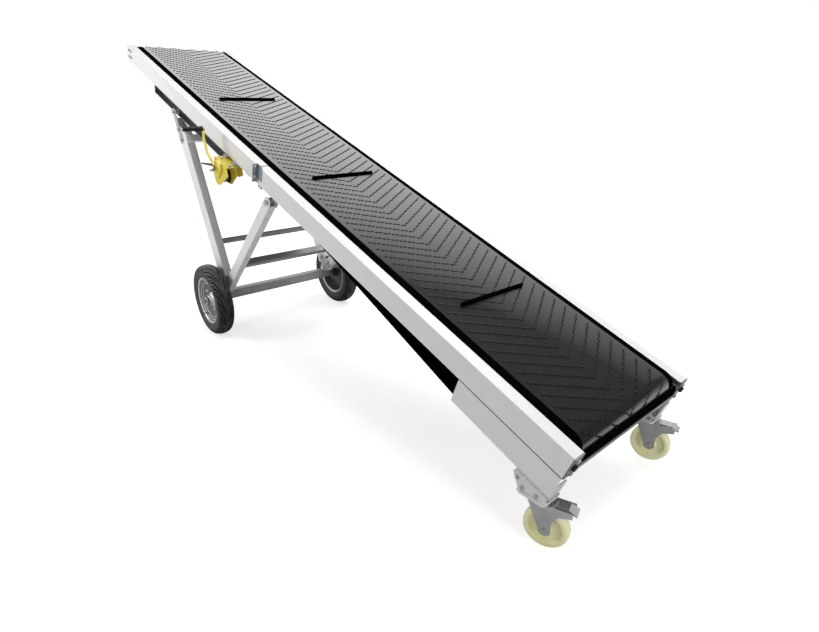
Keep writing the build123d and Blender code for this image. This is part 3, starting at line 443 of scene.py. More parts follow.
    @staticmethod
    def draw_out(piece: Piece, side: Axis, run: Sequence[float]) -> Piece:
        """Extrude the faces on one side of a piece by a run.

        Args:
            piece: object to change.
            side: the way that the faces face.
            run: movement of the faces.

        Returns:
            The changed object.
        """
        Bench.select_side(piece, side)
        bpy.ops.mesh.extrude_region_move(TRANSFORM_OT_translate={"value": run})
        Bench.clear()
        return piece


class Effect(Enum):
    """Shared shader effects, each one node group."""

    GRAIN = "fine_grain"
    CLOUDS = "broad_clouds"
    STREAKS = "drawn_streaks"
    SPANGLE = "zinc_spangle"
    # Painted top light: paler patches on faces that face upwards
    TOP_LIGHT = "settled_dust"
    SCUFFS = "handling_scuffs"


@dataclass
class Wiring:
    """Adds the nodes of one material, world or node group and joins them."""

    tree: bpy.types.NodeTree

    def feed(self, node: bpy.types.Node, inputs: dict[str | int, object]) -> None:
        """Give a node's inputs their values, or join them to the sockets that feed them.

        Args:
            node: node to feed.
            inputs: value or feeding socket of each input, by its name or number.
        """
        for name, value in inputs.items():
            if isinstance(value, bpy.types.NodeSocket):
                self.tree.links.new(value, node.inputs[name])
            else:
                node.inputs[name].default_value = value

    def node(self, kind: str, inputs: dict[str | int, object] | None = None,
             **settings: object) -> bpy.types.Node:
        """Add a node.

        Args:
            kind: node type.
            inputs: value or feeding socket of each input, by its name or number.
            settings: node properties by name.

        Returns:
            The new node.
        """
        made = self.tree.nodes.new(kind)
        for name, value in settings.items():
            setattr(made, name, value)
        self.feed(made, inputs or {})
        return made

    def reckon(self, operation: str, first: object, second: object) -> bpy.types.NodeSocket:
        """Work out one sum of two numbers or sockets and give its result."""
        made = self.node("ShaderNodeMath", {0: first, 1: second}, operation=operation)
        return made.outputs[0]

    def ramp(self, value: bpy.types.NodeSocket, low: float, high: float,
             shape: str = "LINEAR") -> bpy.types.NodeSocket:
        """Stretch the values between two limits to run from zero to one.

        Args:
            value: socket that gives the values.
            low: value that becomes zero.
            high: value that becomes one.
            shape: how they run between the two.

        Returns:
            Socket of the result.
        """
        limits = {"Value": value, "From Min": low, "From Max": high}
        made = self.node("ShaderNodeMapRange", limits, interpolation_type=shape)
        return made.outputs["Result"]

    def effect(self, effect: Effect, **values: object) -> bpy.types.NodeSocket:
        """Place a shared effect with its own values and give its output."""
        group = SHELF.get(effect)
        return self.node("ShaderNodeGroup", dict(values), node_tree=group).outputs[0]

    def blend(self, factor: bpy.types.NodeSocket, first: object, second: Colour,
              share: float = 1.0) -> bpy.types.NodeSocket:
        """Mix a colour or socket towards a second colour by a factor times a share.

        Args:
            factor: socket that says where the second colour shows.
            first: colour, or the socket that it comes from.
            second: colour to mix towards.
            share: most of the second colour that shows.

        Returns:
            The mixed colour's socket.
        """
        start = first if isinstance(first, bpy.types.NodeSocket) else (*first, 1.0)
        level = self.reckon("MULTIPLY", factor, share)
        # A mix node lists its inputs for every kind of data: 6 and 7 are the two colours
        mix = self.node("ShaderNodeMix", data_type="RGBA")
        self.feed(mix, {"Factor": level, 6: start, 7: (*second, 1.0)})
        return mix.outputs[2]


class GroupBuilder(Wiring):
    """Wires one shader node group with named inputs and one output, in object coordinates."""

    def __init__(self, effect: Effect, inputs: dict[str, float | Stretch], output: str) -> None:
        """Make the group with its sockets.

        Args:
            effect: effect that the group stands for.
            inputs: default value of each input by name.
            output: name of the output.
        """
        super().__init__(bpy.data.node_groups.new(effect.value, "ShaderNodeTree"))
        self.entry = self.tree.nodes.new("NodeGroupInput")
        self.exit = self.tree.nodes.new("NodeGroupOutput")
        self.output = output
        for name, value in inputs.items():
            kind = "NodeSocketVector" if isinstance(value, tuple) else "NodeSocketFloat"
            socket = self.tree.interface.new_socket(name, in_out="INPUT", socket_type=kind)
            socket.default_value = value
        self.tree.interface.new_socket(output, in_out="OUTPUT", socket_type="NodeSocketFloat")
        self.place = self.node("ShaderNodeTexCoord").outputs["Object"]

    def given(self, name: str) -> bpy.types.NodeSocket:
        """Give the socket of one of the group's inputs."""
        return self.entry.outputs[name]

    def noise(self, **inputs: object) -> bpy.types.NodeSocket:
        """Add a noise texture and give its factor."""
        made = self.node("ShaderNodeTexNoise", {"Vector": self.place, **inputs})
        return made.outputs["Fac"]

    def finish(self, result: bpy.types.NodeSocket) -> bpy.types.NodeTree:
        """Join the result to the group's output and give the group."""
        self.feed(self.exit, {self.output: result})
        return self.tree


class EffectShelf:
    """Builds each shared effect once and hands out its node group."""

    def __init__(self) -> None:
        """Start with an empty shelf."""
        self.groups: dict[Effect, bpy.types.NodeTree] = {}

    def get(self, effect: Effect) -> bpy.types.NodeTree:
        """Give the node group of an effect, building it the first time.

        Args:
            effect: which effect.

        Returns:
            Its shader node group.
        """
        if effect not in self.groups:
            builders = {Effect.GRAIN: self.grain, Effect.CLOUDS: self.clouds,
                        Effect.STREAKS: self.streaks, Effect.SPANGLE: self.spangle,
                        Effect.TOP_LIGHT: self.top_light, Effect.SCUFFS: self.scuffs}
            self.groups[effect] = builders[effect]()
        return self.groups[effect]

    @staticmethod
    def grain() -> bpy.types.NodeTree:
        """Fine even grain, as on powder coat, moulded rubber or plastic."""
        build = GroupBuilder(Effect.GRAIN, {"Scale": 900.0}, "Height")
        return build.finish(build.noise(Scale=build.given("Scale"), Detail=3.0))

    @staticmethod
    def clouds() -> bpy.types.NodeTree:
        """Broad soft variation between zero and one."""
        build = GroupBuilder(Effect.CLOUDS, {"Scale": 6.0}, "Mask")
        noise = build.noise(Scale=build.given("Scale"), Detail=5.0, Roughness=0.6)
        return build.finish(build.ramp(noise, low=0.25, high=0.75, shape="SMOOTHSTEP"))

    @staticmethod
    def streaks() -> bpy.types.NodeTree:
        """Long fine marks along one axis, as rolling and drawing leave on metal and rubber."""
        given = {"Scale": 60.0, "Stretch": (0.03, 1.0, 1.0)}
        build = GroupBuilder(Effect.STREAKS, given, "Mask")
        stretched = build.node("ShaderNodeMapping",
                               {"Vector": build.place, "Scale": build.given("Stretch")})
        return build.finish(build.noise(Vector=stretched.outputs["Vector"],
                                        Scale=build.given("Scale"), Detail=6.0))

    @staticmethod
    def spangle() -> bpy.types.NodeTree:
        """Crystal patches of a zinc coat."""
        build = GroupBuilder(Effect.SPANGLE, {"Scale": 160.0}, "Mask")
        cells = build.node("ShaderNodeTexVoronoi",
                           {"Vector": build.place, "Scale": build.given("Scale")}, feature="F1")
        grey = build.node("ShaderNodeSeparateColor", {"Color": cells.outputs["Color"]})
        return build.finish(grey.outputs["Red"])

    @staticmethod
    def top_light() -> bpy.types.NodeTree:
        """Painted top light: paler patches on surfaces which face upwards."""
        build = GroupBuilder(Effect.TOP_LIGHT, {"Amount": 0.3}, "Mask")
        facing = build.node("ShaderNodeNewGeometry").outputs["Normal"]
        upward = build.node("ShaderNodeSeparateXYZ", {"Vector": facing}).outputs["Z"]
        patch = build.reckon("MULTIPLY", build.ramp(upward, low=0.3, high=1.0),
                             build.noise(Scale=14.0, Detail=8.0))
        return build.finish(build.reckon("MULTIPLY", patch, build.given("Amount")))

    @staticmethod
    def scuffs() -> bpy.types.NodeTree:
        """Sparse rubbed patches and short scratches from handling."""
        build = GroupBuilder(Effect.SCUFFS, {"Scale": 11.0}, "Mask")
        patches = build.noise(Scale=build.given("Scale"), Detail=9.0, Roughness=0.72)
        scratches = build.noise(Scale=90.0, Distortion=2.5)
        both = build.reckon("MULTIPLY", patches, scratches)
        return build.finish(build.ramp(both, low=0.31, high=0.40, shape="SMOOTHSTEP"))


SHELF = EffectShelf()


@dataclass(frozen=True)
class Finish:
    """One surface finish: two colours that vary over the surface, gloss, grain and wear, with
    painted top light and a painted grazing sheen where set.

    Attributes:
        name: plain name of the finish.
        colour: main colour.
        second: colour that the broad variation moves towards.
        roughness: lowest and highest roughness.
        metallic: 1 for bare metal.
        clouds: scale of the broad variation.
        grain: scale of the fine grain and its depth in metres.
        streak: share of drawn streaks in the colour.
        stretch: scale of the streaks along each axis, small along their run.
        spangle: share of zinc crystals in the colour.
        top_light: amount of painted top light, paler patches on faces that face upwards.
        top_light_colour: colour of that painted top light.
        coat: clear coat weight.
        coat_roughness: roughness of the clear coat.
        specular: specular level.
        painted_sheen: share of the pale colour painted where the surface is seen at a grazing
            angle, a painted sheen.
        painted_sheen_colour: the pale colour of that painted sheen.
        painted_sheen_ramp: share of facing away at which the painted sheen starts and is full.
        wear: share of the wear colour in rubbed patches.
        wear_colour: colour of rubbed patches.
    """

    name: str
    colour: Colour
    second: Colour
    roughness: tuple[float, float]
    metallic: float = 0.0
    clouds: float = 6.0
    grain: tuple[float, float] = (900.0, 0.0001)
    streak: float = 0.0
    stretch: Stretch = (0.03, 1.0, 1.0)
    spangle: float = 0.0
    top_light: float = 0.0
    top_light_colour: Colour = (0.42, 0.42, 0.42)
    coat: float = 0.0
    coat_roughness: float = 0.12
    specular: float = 0.5
    painted_sheen: float = 0.0
    painted_sheen_colour: Colour = (0.58, 0.58, 0.58)
    painted_sheen_ramp: tuple[float, float] = (0.46, 0.78)
    wear: float = 0.30
    wear_colour: Colour = (0.34, 0.34, 0.34)

    def build(self) -> bpy.types.Material:
        """Make the material.

        Returns:
            The finished material.
        """
        material = bpy.data.materials.new(self.name)
        material.use_nodes = True
        wires = Wiring(material.node_tree)
        clouds = wires.effect(Effect.CLOUDS, Scale=self.clouds)
        colour = wires.blend(clouds, self.colour, self.second)
        if self.streak:
            streaks = wires.effect(Effect.STREAKS, Stretch=self.stretch)
            colour = wires.blend(streaks, colour, self.second, self.streak)
        if self.spangle:
            spangle = wires.effect(Effect.SPANGLE)
            colour = wires.blend(spangle, colour, self.second, self.spangle)
        # Paler patches on faces that face upwards: painted top light
        if self.top_light:
            top_light = wires.effect(Effect.TOP_LIGHT, Amount=self.top_light)
            colour = wires.blend(top_light, colour, self.top_light_colour)
        scuffs = wires.effect(Effect.SCUFFS)
        colour = wires.blend(scuffs, colour, self.wear_colour, self.wear)
        # Paler where the surface is seen at a grazing angle: a painted sheen
        if self.painted_sheen:
            slant = wires.node("ShaderNodeLayerWeight", {"Blend": 0.5}).outputs["Facing"]
            pale = wires.ramp(slant, *self.painted_sheen_ramp)
            colour = wires.blend(pale, colour, self.painted_sheen_colour, self.painted_sheen)
        smooth, dull = self.roughness
        gloss = wires.node("ShaderNodeMapRange",
                           {"Value": clouds, "To Min": smooth, "To Max": dull})
        scale, depth = self.grain
        bump = wires.node("ShaderNodeBump", {"Height": wires.effect(Effect.GRAIN, Scale=scale),
                                             "Distance": depth, "Strength": 1.0})
        wires.feed(material.node_tree.nodes["Principled BSDF"], {
            "Base Color": colour,
            "Roughness": gloss.outputs["Result"],
            "Normal": bump.outputs["Normal"],
            "Metallic": self.metallic,
            "Specular IOR Level": self.specular,
            "Coat Weight": self.coat,
            "Coat Roughness": self.coat_roughness,
        })
        return material


class Paints:
    """All finishes of the machine, each built once."""

    WHITE = Finish("white_powder_coat", (0.84, 0.84, 0.835), (0.80, 0.80, 0.80), (0.30, 0.38),
                   clouds=3.0, grain=(1400.0, 0.00004), coat=0.15, wear=0.06)
    SILVER = Finish("silver_frame_paint", (0.87, 0.875, 0.88), (0.83, 0.835, 0.84), (0.32, 0.42),
                    clouds=5.0, grain=(1600.0, 0.00004), coat=0.1, wear=0.08)
    # A darker brushed copy of the frame paint on the axle beam and crossbars: brushed streaks, and
    # painted shade on their tail-facing sides
    SHADED_BEAM = Finish("brushed_beam_painted_shade", (0.45, 0.455, 0.46), (0.26, 0.265, 0.27), (0.30, 0.42),
                  metallic=0.35, clouds=5.0, grain=(1600.0, 0.00004), streak=0.9,
                  stretch=(1.0, 0.03, 1.0))
    # The belt pales towards grazing angles: a painted sheen over the black rubber
    BELT = Finish("belt_rubber", (0.005, 0.005, 0.0052), (0.009, 0.009, 0.0095), (0.50, 0.62),
                  clouds=9.0, grain=(1100.0, 0.00004), streak=0.25, specular=0.09, wear=0.03,
                  painted_sheen=0.95)
    RIB = Finish("belt_rib", (0.004, 0.004, 0.0042), (0.007, 0.007, 0.0072), (0.26, 0.36),
                 clouds=9.0, grain=(1100.0, 0.00003), specular=0.14, wear=0.02)
    # Flat black without reflection: painted shade. It darkens the belt's margins where the gap
    # beside the belt lies in shade, the belt's underside and edges inside the loop, the tail sheet
    # and the cleats
    SHADE_BLACK = Finish("painted_shade_black", (0.0015, 0.0015, 0.0015), (0.0025, 0.0025, 0.0025),
                    (0.85, 0.95), clouds=9.0, grain=(1100.0, 0.00006), specular=0.0, wear=0.01)
    # The tyre is paler in patches on its upward faces: painted top light
    TYRE = Finish("tyre_rubber", (0.020, 0.020, 0.0205), (0.034, 0.034, 0.0345), (0.42, 0.56),
                  clouds=12.0, grain=(1000.0, 0.00008), top_light=0.60, specular=0.35, wear=0.12)
    # Flat black without reflection on the groove faces: painted shade in the tyre's grooves
    GROOVE_SHADE = Finish("tyre_groove_painted_shade", (0.0015, 0.0015, 0.0015), (0.003, 0.003, 0.003),
                    (0.85, 0.95), clouds=12.0, grain=(1000.0, 0.00005), specular=0.0, wear=0.0)
    RIM = Finish("rim_silver", (0.66, 0.665, 0.67), (0.58, 0.585, 0.59), (0.24, 0.34),
                 metallic=0.6, clouds=10.0, grain=(1800.0, 0.00003))
    # Dark grey on the silver rim's body, recessed inside the tyre: painted shade in the rim's well
    WELL_SHADE = Finish("rim_well_painted_shade", (0.13, 0.131, 0.133), (0.09, 0.091, 0.092), (0.30, 0.42),
                  metallic=0.4, clouds=10.0, grain=(1800.0, 0.00003))
    NYLON = Finish("caster_nylon", (0.97, 0.98, 0.72), (0.96, 0.91, 0.48), (0.30, 0.38),
                   clouds=18.0, grain=(1200.0, 0.00003), coat=0.1, wear=0.15,
                   wear_colour=(0.70, 0.70, 0.48))
    YELLOW = Finish("winch_yellow", (0.88, 0.72, 0.05), (0.80, 0.64, 0.04), (0.26, 0.36),
                    clouds=14.0, grain=(900.0, 0.00006), coat=0.35)
    GRIP = Finish("grip_plastic", (0.006, 0.006, 0.0065), (0.011, 0.011, 0.0115), (0.38, 0.48),
                  clouds=20.0, grain=(1500.0, 0.00005), specular=0.2, wear=0.08)
    ZINC = Finish("galvanised_steel", (0.52, 0.523, 0.528), (0.36, 0.363, 0.368), (0.30, 0.46),
                  metallic=0.75, clouds=16.0, grain=(1300.0, 0.00003), spangle=0.5)
    SHEET = Finish("galvanised_sheet", (0.48, 0.49, 0.50), (0.38, 0.39, 0.40), (0.34, 0.48),
                   metallic=0.8, clouds=8.0, grain=(1300.0, 0.00003), spangle=0.35)
    STEEL = Finish("turned_steel", (0.42, 0.425, 0.43), (0.32, 0.325, 0.33), (0.26, 0.36),
                   metallic=1.0, clouds=12.0, grain=(1800.0, 0.00002), streak=0.4)
    ROPE = Finish("wire_rope", (0.16, 0.16, 0.165), (0.09, 0.09, 0.095), (0.36, 0.50),
                  metallic=0.9, clouds=60.0, grain=(2400.0, 0.0001))
    PLATE = Finish("dull_zinc", (0.26, 0.27, 0.28), (0.16, 0.165, 0.17), (0.36, 0.50),
                   metallic=0.7, clouds=16.0, grain=(1300.0, 0.00003), spangle=0.5)
    BRIGHT = Finish("bright_zinc", (0.86, 0.86, 0.865), (0.66, 0.66, 0.665), (0.24, 0.40),
                    metallic=0.35, clouds=20.0, grain=(1300.0, 0.00003), spangle=0.4)
    BRACKET = Finish("blue_grey_paint", (0.27, 0.31, 0.36), (0.22, 0.255, 0.30), (0.34, 0.46),
                     clouds=14.0, grain=(1300.0, 0.00004))

    SLOTS = {"white_paint": WHITE, "frame_paint": SILVER, "belt_rubber": BELT, "tyre": TYRE,
             "rim_silver": RIM, "caster_plastic": NYLON, "yellow_paint": YELLOW,
             "black_grip": GRIP, "galvanised": ZINC, "bed_sheet": SHEET, "drum_steel": STEEL,
             "wire_rope": ROPE}
    # Nodes that differ from the rest of their slot
    NODES = {"axle_beam": SHADED_BEAM, "rear_crossbar": SHADED_BEAM, "strut_crossbar": SHADED_BEAM,
             "rim_left": WELL_SHADE, "rim_right": WELL_SHADE, "tail_end_frame": PLATE,
             "guide_channel_left": PLATE, "guide_channel_right": PLATE,
             "side_bracket": BRACKET, "caster_mounts": BRIGHT,
             "caster_bracket_left": BRIGHT, "caster_bracket_right": BRIGHT}

    def __init__(self) -> None:
        """Start with no material built."""
        self.built: dict[str, bpy.types.Material] = {}

    def get(self, finish: Finish) -> bpy.types.Material:
        """Give the material of a finish, building it the first time."""
        if finish.name not in self.built:
            self.built[finish.name] = finish.build()
        return self.built[finish.name]

    def dress_frame(self) -> None:
        """Give every node of the frame its own finish, or the finish of its material slot."""
        for entry in frame["record"]["subparts"]:
            node = frame["nodes"].get(entry["node"])
            if node is None:
                continue
            finish = self.NODES.get(entry["node"], self.SLOTS[entry["material_slot"]])
            for slot in node.material_slots:
                slot.material = self.get(finish)
        LOG.info("dressed %d nodes", len(frame["nodes"]))


@dataclass(frozen=True)
class Lamp:
    """One large soft lamp: its place, the point it shines at, its power in watts and width."""

    name: str
    place: Place
    aim: Place
    power: float
    width: float


@dataclass
class Studio:
    """Floor, light and camera."""

    eye: Place = (-3.1176, 1.5125, 1.3147)
    pan: float = math.radians(-40.55)
    tilt: float = math.radians(21.63)
    roll: float = math.radians(-0.244)
    lens: float = 22.873
    sensor: float = 36.0
    nearest: float = 0.05
    floor_half: float = 14.0
    floor_grey: float = 0.80
    floor_roughness: float = 0.9
    # Glow of the floor near the machine and far from it, and the distances it fades between
    floor_glow: tuple[float, float] = (0.66, 0.95)
    floor_fade: tuple[float, float] = (2.6, 5.0)
    world_light: float = 0.30
    lamps: tuple[Lamp, ...] = (
        Lamp("sky", (-1.3, -1.1, 4.4), (-1.1, 0.0, 0.6), 175.0, 4.0),
        Lamp("side", (1.9, 3.5, 1.7), (0.5, 0.36, 1.0), 80.0, 2.0),
        Lamp("tail", (-4.7, 0.1, 0.6), (-2.4, 0.0, 0.1), 24.0, 1.8),
    )

    def set_camera(self) -> None:
        """Place the camera at the photograph's viewing angle."""
        Bench.clear()
        level, drop = math.cos(self.tilt), math.sin(self.tilt)
        forward = Vector((level * math.cos(self.pan), level * math.sin(self.pan), -drop))
        right = forward.cross(Axis.UP.vector).normalized()
        up = right.cross(forward)
        side = right * math.cos(self.roll) + up * math.sin(self.roll)
        top = up * math.cos(self.roll) - right * math.sin(self.roll)
        turn = Matrix((side, top, -forward)).transposed()
        data = bpy.data.cameras.new("camera")
        data.lens = self.lens
        data.sensor_width = self.sensor
        data.sensor_fit = "HORIZONTAL"
        data.clip_start = self.nearest
        holder = Bench.link("camera", data)
        holder.matrix_world = Matrix.Translation(self.eye) @ turn.to_4x4()
        bpy.context.scene.camera = holder

    def lay_floor(self) -> None:
        """Lay the pale floor, white to the camera and plain grey to the light."""
        Bench.clear()
        bpy.ops.mesh.primitive_plane_add(size=2 * self.floor_half)
        floor = bpy.context.object
        floor.name = "floor"
        material = bpy.data.materials.new("floor_white")
        material.use_nodes = True
        wires = Wiring(material.node_tree)
        place = wires.node("ShaderNodeTexCoord").outputs["Object"]
        reach = wires.node("ShaderNodeVectorMath", {0: place}, operation="LENGTH")
        fade = wires.node("ShaderNodeMapRange", {
            "Value": reach.outputs["Value"],
            "From Min": self.floor_fade[0], "From Max": self.floor_fade[1],
            "To Min": self.floor_glow[0], "To Max": self.floor_glow[1]})
        seen = wires.node("ShaderNodeLightPath").outputs["Is Camera Ray"]
        wires.feed(material.node_tree.nodes["Principled BSDF"], {
            "Base Color": (self.floor_grey, self.floor_grey, self.floor_grey, 1.0),
            "Roughness": self.floor_roughness,
            "Specular IOR Level": 0.0,
            "Emission Color": WHITE_LIGHT,
            "Emission Strength": wires.reckon("MULTIPLY", seen, fade.outputs["Result"]),
        })
        floor.data.materials.append(material)

    def light_world(self) -> None:
        """Light everything softly from all round, with a white background."""
        world = bpy.data.worlds.new("studio")
        bpy.context.scene.world = world
        world.use_nodes = True
        world.node_tree.nodes.clear()
        wires = Wiring(world.node_tree)
        paths = wires.node("ShaderNodeLightPath").outputs
        soft = wires.node("ShaderNodeBackground", {"Strength": self.world_light})
        white = wires.node("ShaderNodeBackground", {"Color": WHITE_LIGHT})
        seen = wires.reckon("MAXIMUM", paths["Is Camera Ray"], paths["Is Glossy Ray"])
        seen = wires.reckon("MAXIMUM", seen, paths["Is Transmission Ray"])
        mix = wires.node("ShaderNodeMixShader",
                         {0: seen, 1: soft.outputs[0], 2: white.outputs[0]})
        wires.node("ShaderNodeOutputWorld", {"Surface": mix.outputs[0]})

    def hang_lamps(self) -> None:
        """Hang the large soft lamps of the table."""
        for lamp in self.lamps:
            data = bpy.data.lights.new(lamp.name, "AREA")
            data.energy = lamp.power
            data.size = lamp.width
            holder = Bench.link(lamp.name, data)
            holder.location = lamp.place
            ray = Vector(lamp.aim) - Vector(lamp.place)
            holder.rotation_euler = ray.to_track_quat("-Z", "Y").to_euler()

    def build(self) -> None:
        """Set up the whole studio."""
        self.set_camera()
        self.lay_floor()
        self.light_world()
        self.hang_lamps()
        bpy.context.scene.view_settings.view_transform = "Standard"
        LOG.info("studio ready")


class Assembly:
    """What every sub-assembly shares: it finishes its pieces and ties them to their bodies."""

    def __init__(self, paints: Paints) -> None:
        """Keep the shelf of finishes."""
        self.paints = paints

    def keep(self, piece: Piece, slot: str, body: str, *stands_for: str,
             place: Matrix | None = None, angle: float = 35.0) -> None:
        """Finish a piece and tie it to its body.

        Args:
            piece: the modelled piece.
            slot: material slot, whose finish it takes if it has none of its own.
            body: body that it moves with.
            stands_for: CAD nodes that it replaces.
            place: movement into its place, if it isn't modelled there.
            angle: shading angle in degrees.
        """
        if place is not None:
            Bench.settle_at(piece, place)
        Bench.smooth(piece, angle)
        if not piece.data.materials:
            piece.data.materials.append(self.paints.get(Paints.SLOTS[slot]))
        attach(piece, body)
        if stands_for:
            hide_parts(*stands_for)
        LOG.info("%s on %s: %d faces", piece.name, body, len(piece.data.polygons))


@dataclass
class BeltSizes:
    """Sizes of the belt and the places of its rollers along the bed and above the rails."""

    width: float = 0.620
    ribbed_half: float = 0.280  # half width of the ribbed part, between the plain margins
    thickness: float = 0.008
    tail: tuple[float, float] = (0.062, -0.0432)
    head: tuple[float, float] = (3.888, -0.0432)
    snub: tuple[float, float] = (0.420, -0.187)
    idler: float = 2.170
    drum_reach: float = 0.0482  # of the belt's outer face round the drum and the tail pulley
    snub_reach: float = 0.0462
    slack: float = 4.63  # slope of the slack run between idler and snub roller, in degrees
    wrap: float = 111.59  # where the belt leaves the snub roller for the pulley, in degrees
    turn_step: float = 6.0  # degrees between points round a roller
    cuts: int = 1100  # along the mat
    closing_reach: float = 0.0006  # within which the belt's two ends are merged

    rib_pitch: float = 0.0565
    rib_slope: float = 0.6  # run of the arms along the belt for each unit across it
    rib_reach: float = 0.258
    rib_width: float = 0.0074
    rib_height: float = 0.0034
    rib_sink: float = 0.0006
    bars: int = 8  # pairs of short bars in each arm
    bar_share: float = 0.8  # share of the bars' pitch that one bar fills
    bar_turn: float = math.radians(9.0)
    bar_top: Stretch = (0.86, 0.5, 1.0)
    wobble: float = 0.0011  # how far a bar is set off from its rib's line

    cleat_foot: float = 0.0063  # half of its length along the belt
    cleat_half: float = 0.181  # half of its width across the belt
    cleat_height: float = 0.018
    cleat_sink: float = 0.001
    cleat_top: Stretch = (0.56, 0.992, 1.0)
    cleat_round: float = 0.0012
    top_cleats: tuple[float, ...] = (0.680, 1.763, 2.846)
    back_cleats: tuple[float, ...] = (3.44165, 2.35865, 1.27565)


class ChevronBelt(Assembly):
    """Ribbed belt: a closed mat round its rollers, with broken wavy chevron ribs and cleats."""

    sizes = BeltSizes()
    # Corners of one bar, which stay together in the mesh of the ribs
    BAR_POINTS = 8

    def __init__(self, paints: Paints) -> None:
        """Lay the path that everything on the belt is wrapped along."""
        super().__init__(paints)
        self.path = self.lay_path()
        self.length = self.path.data.splines[0].calc_length()

    def round_roller(self, centre: tuple[float, float], reach: float, start: float,
                     end: float) -> list[Vector]:
        """Points of the path round a roller, turning clockwise between two angles.

        Args:
            centre: place of the roller along the bed and above the rails.
            reach: radius of the path.
            start: first angle, in degrees.
            end: last angle, in degrees.

        Returns:
            The points in order.
        """
        steps = max(2, round((start - end) / self.sizes.turn_step))
        turns = [math.radians(start + (end - start) * step / steps) for step in range(steps + 1)]
        return [Vector((centre[0] + reach * math.cos(turn), 0.0,
                        centre[1] + reach * math.sin(turn))) for turn in turns]

    def lay_path(self) -> Piece:
        """Make the closed line along the belt's outer face, from the tail over the top run.

        Returns:
            The line as a curve object, in the bed's own axes.
        """
        size = self.sizes
        low = size.head[1] - size.drum_reach
        points = [Vector((size.tail[0], 0.0, size.tail[1] + size.drum_reach))]
        points += self.round_roller(size.head, size.drum_reach, 90.0, -90.0)
        points.append(Vector((size.idler, 0.0, low)))
        points += self.round_roller(size.snub, size.snub_reach, size.slack - 90.0, -size.wrap)
        points += self.round_roller(size.tail, size.drum_reach, -size.wrap, -270.0)[:-1]
        line = bpy.data.curves.new("belt_path", "CURVE")
        line.dimensions = "3D"
        spline = line.splines.new("POLY")
        spline.points.add(len(points) - 1)
        for point, place in zip(spline.points, points):
            point.co = (*place, 1.0)
        spline.use_cyclic_u = True
        return Bench.link("belt_path", line)

    def bend(self, piece: Piece) -> Piece:
        """Bend a flat piece along the path."""
        return Bench.modify(piece, "CURVE", object=self.path, deform_axis="POS_X")

    def dress_and_bend(self, piece: Piece, finish: Finish) -> Piece:
        """Give a flat piece its rubber and bend it along the path."""
        piece.data.materials.append(self.paints.get(finish))
        return self.bend(piece)

    def mat(self) -> Piece:
        """Model the flat mat, close it round the rollers and give it its thickness.

        Returns:
            The mat, in belt rubber on its ribbed part and in flat painted shade black on its
            margins, underside and edges.
        """
        size = self.sizes
        Bench.clear()
        bpy.ops.mesh.primitive_grid_add(x_subdivisions=size.cuts, y_subdivisions=3, size=1.0)
        mat = bpy.context.object
        for point in mat.data.vertices:
            # The grid's four rows are the belt's two edges and the edges of its ribbed part
            at_edge = abs(point.co.y) > 0.4
            half = size.width / 2 if at_edge else size.ribbed_half
            across = math.copysign(half, point.co.y)
            point.co = ((point.co.x + 0.5) * self.length, across, 0.0)
        mat.data.materials.append(self.paints.get(Paints.BELT))
        mat.data.materials.append(self.paints.get(Paints.SHADE_BLACK))
        for face in mat.data.polygons:
            face.material_index = int(abs(face.center.y) > size.ribbed_half)
        Bench.weld(self.bend(mat), size.closing_reach)
        # The underside and edges take the flat painted shade black as well
        return Bench.modify(mat, "SOLIDIFY", thickness=size.thickness, offset=-1.0,
                            material_offset=1, material_offset_rim=1, use_even_offset=True)

    def bar(self, side: float) -> Piece:
        """Model one short bar of a rib, turned and set off from its neighbours to one side.

        Args:
            side: -1 for the first bar of a pair, 1 for the second.

        Returns:
            The bar, lying flat.
        """
        size = self.sizes
        pitch = size.rib_reach / (2 * size.bars)
        half = size.bar_share / 2 * pitch * math.hypot(1.0, size.rib_slope)
        bar = Bench.block("bar", (-half, -size.rib_width / 2, -size.rib_sink),
                          (half, size.rib_width / 2, size.rib_height))
        Bench.taper(bar, Axis.UP, size.bar_top)
        Bench.select_side(bar, Axis.DOWN)
        bpy.ops.mesh.delete(type="FACE")
        Bench.clear()
        turn = math.atan2(1.0, size.rib_slope) + side * size.bar_turn
        bar.rotation_euler = (0.0, 0.0, turn)
        across = (0.5 if side < 0.0 else 1.5) * pitch
        bar.location = (size.rib_slope * across + side * size.wobble, across, 0.0)
        return Bench.settle(bar)

    def ribs(self) -> Piece:
        """Repeat the bars into chevrons and the chevrons round the whole belt.

        Returns:
            The ribs, bent along the path.
        """
        size = self.sizes
        pitch = size.rib_reach / size.bars
        ribs = Bench.join("ribs", [self.bar(-1.0), self.bar(1.0)])
        Bench.repeat(ribs, size.bars, (size.rib_slope * pitch, pitch, 0.0))
        Bench.modify(ribs, "MIRROR", use_axis=(False, True, False), use_mirror_merge=False)
        count = round(self.length / size.rib_pitch)
        Bench.repeat(ribs, count, (self.length / count, 0.0, 0.0))
        # Bars past the path's end go to its start, or the bend would draw them out straight
        points = ribs.data.vertices
        for first in range(0, len(points), self.BAR_POINTS):
            if points[first].co.x > self.length:
                for index in range(first, first + self.BAR_POINTS):
                    points[index].co.x -= self.length
        return self.dress_and_bend(ribs, Paints.RIB)

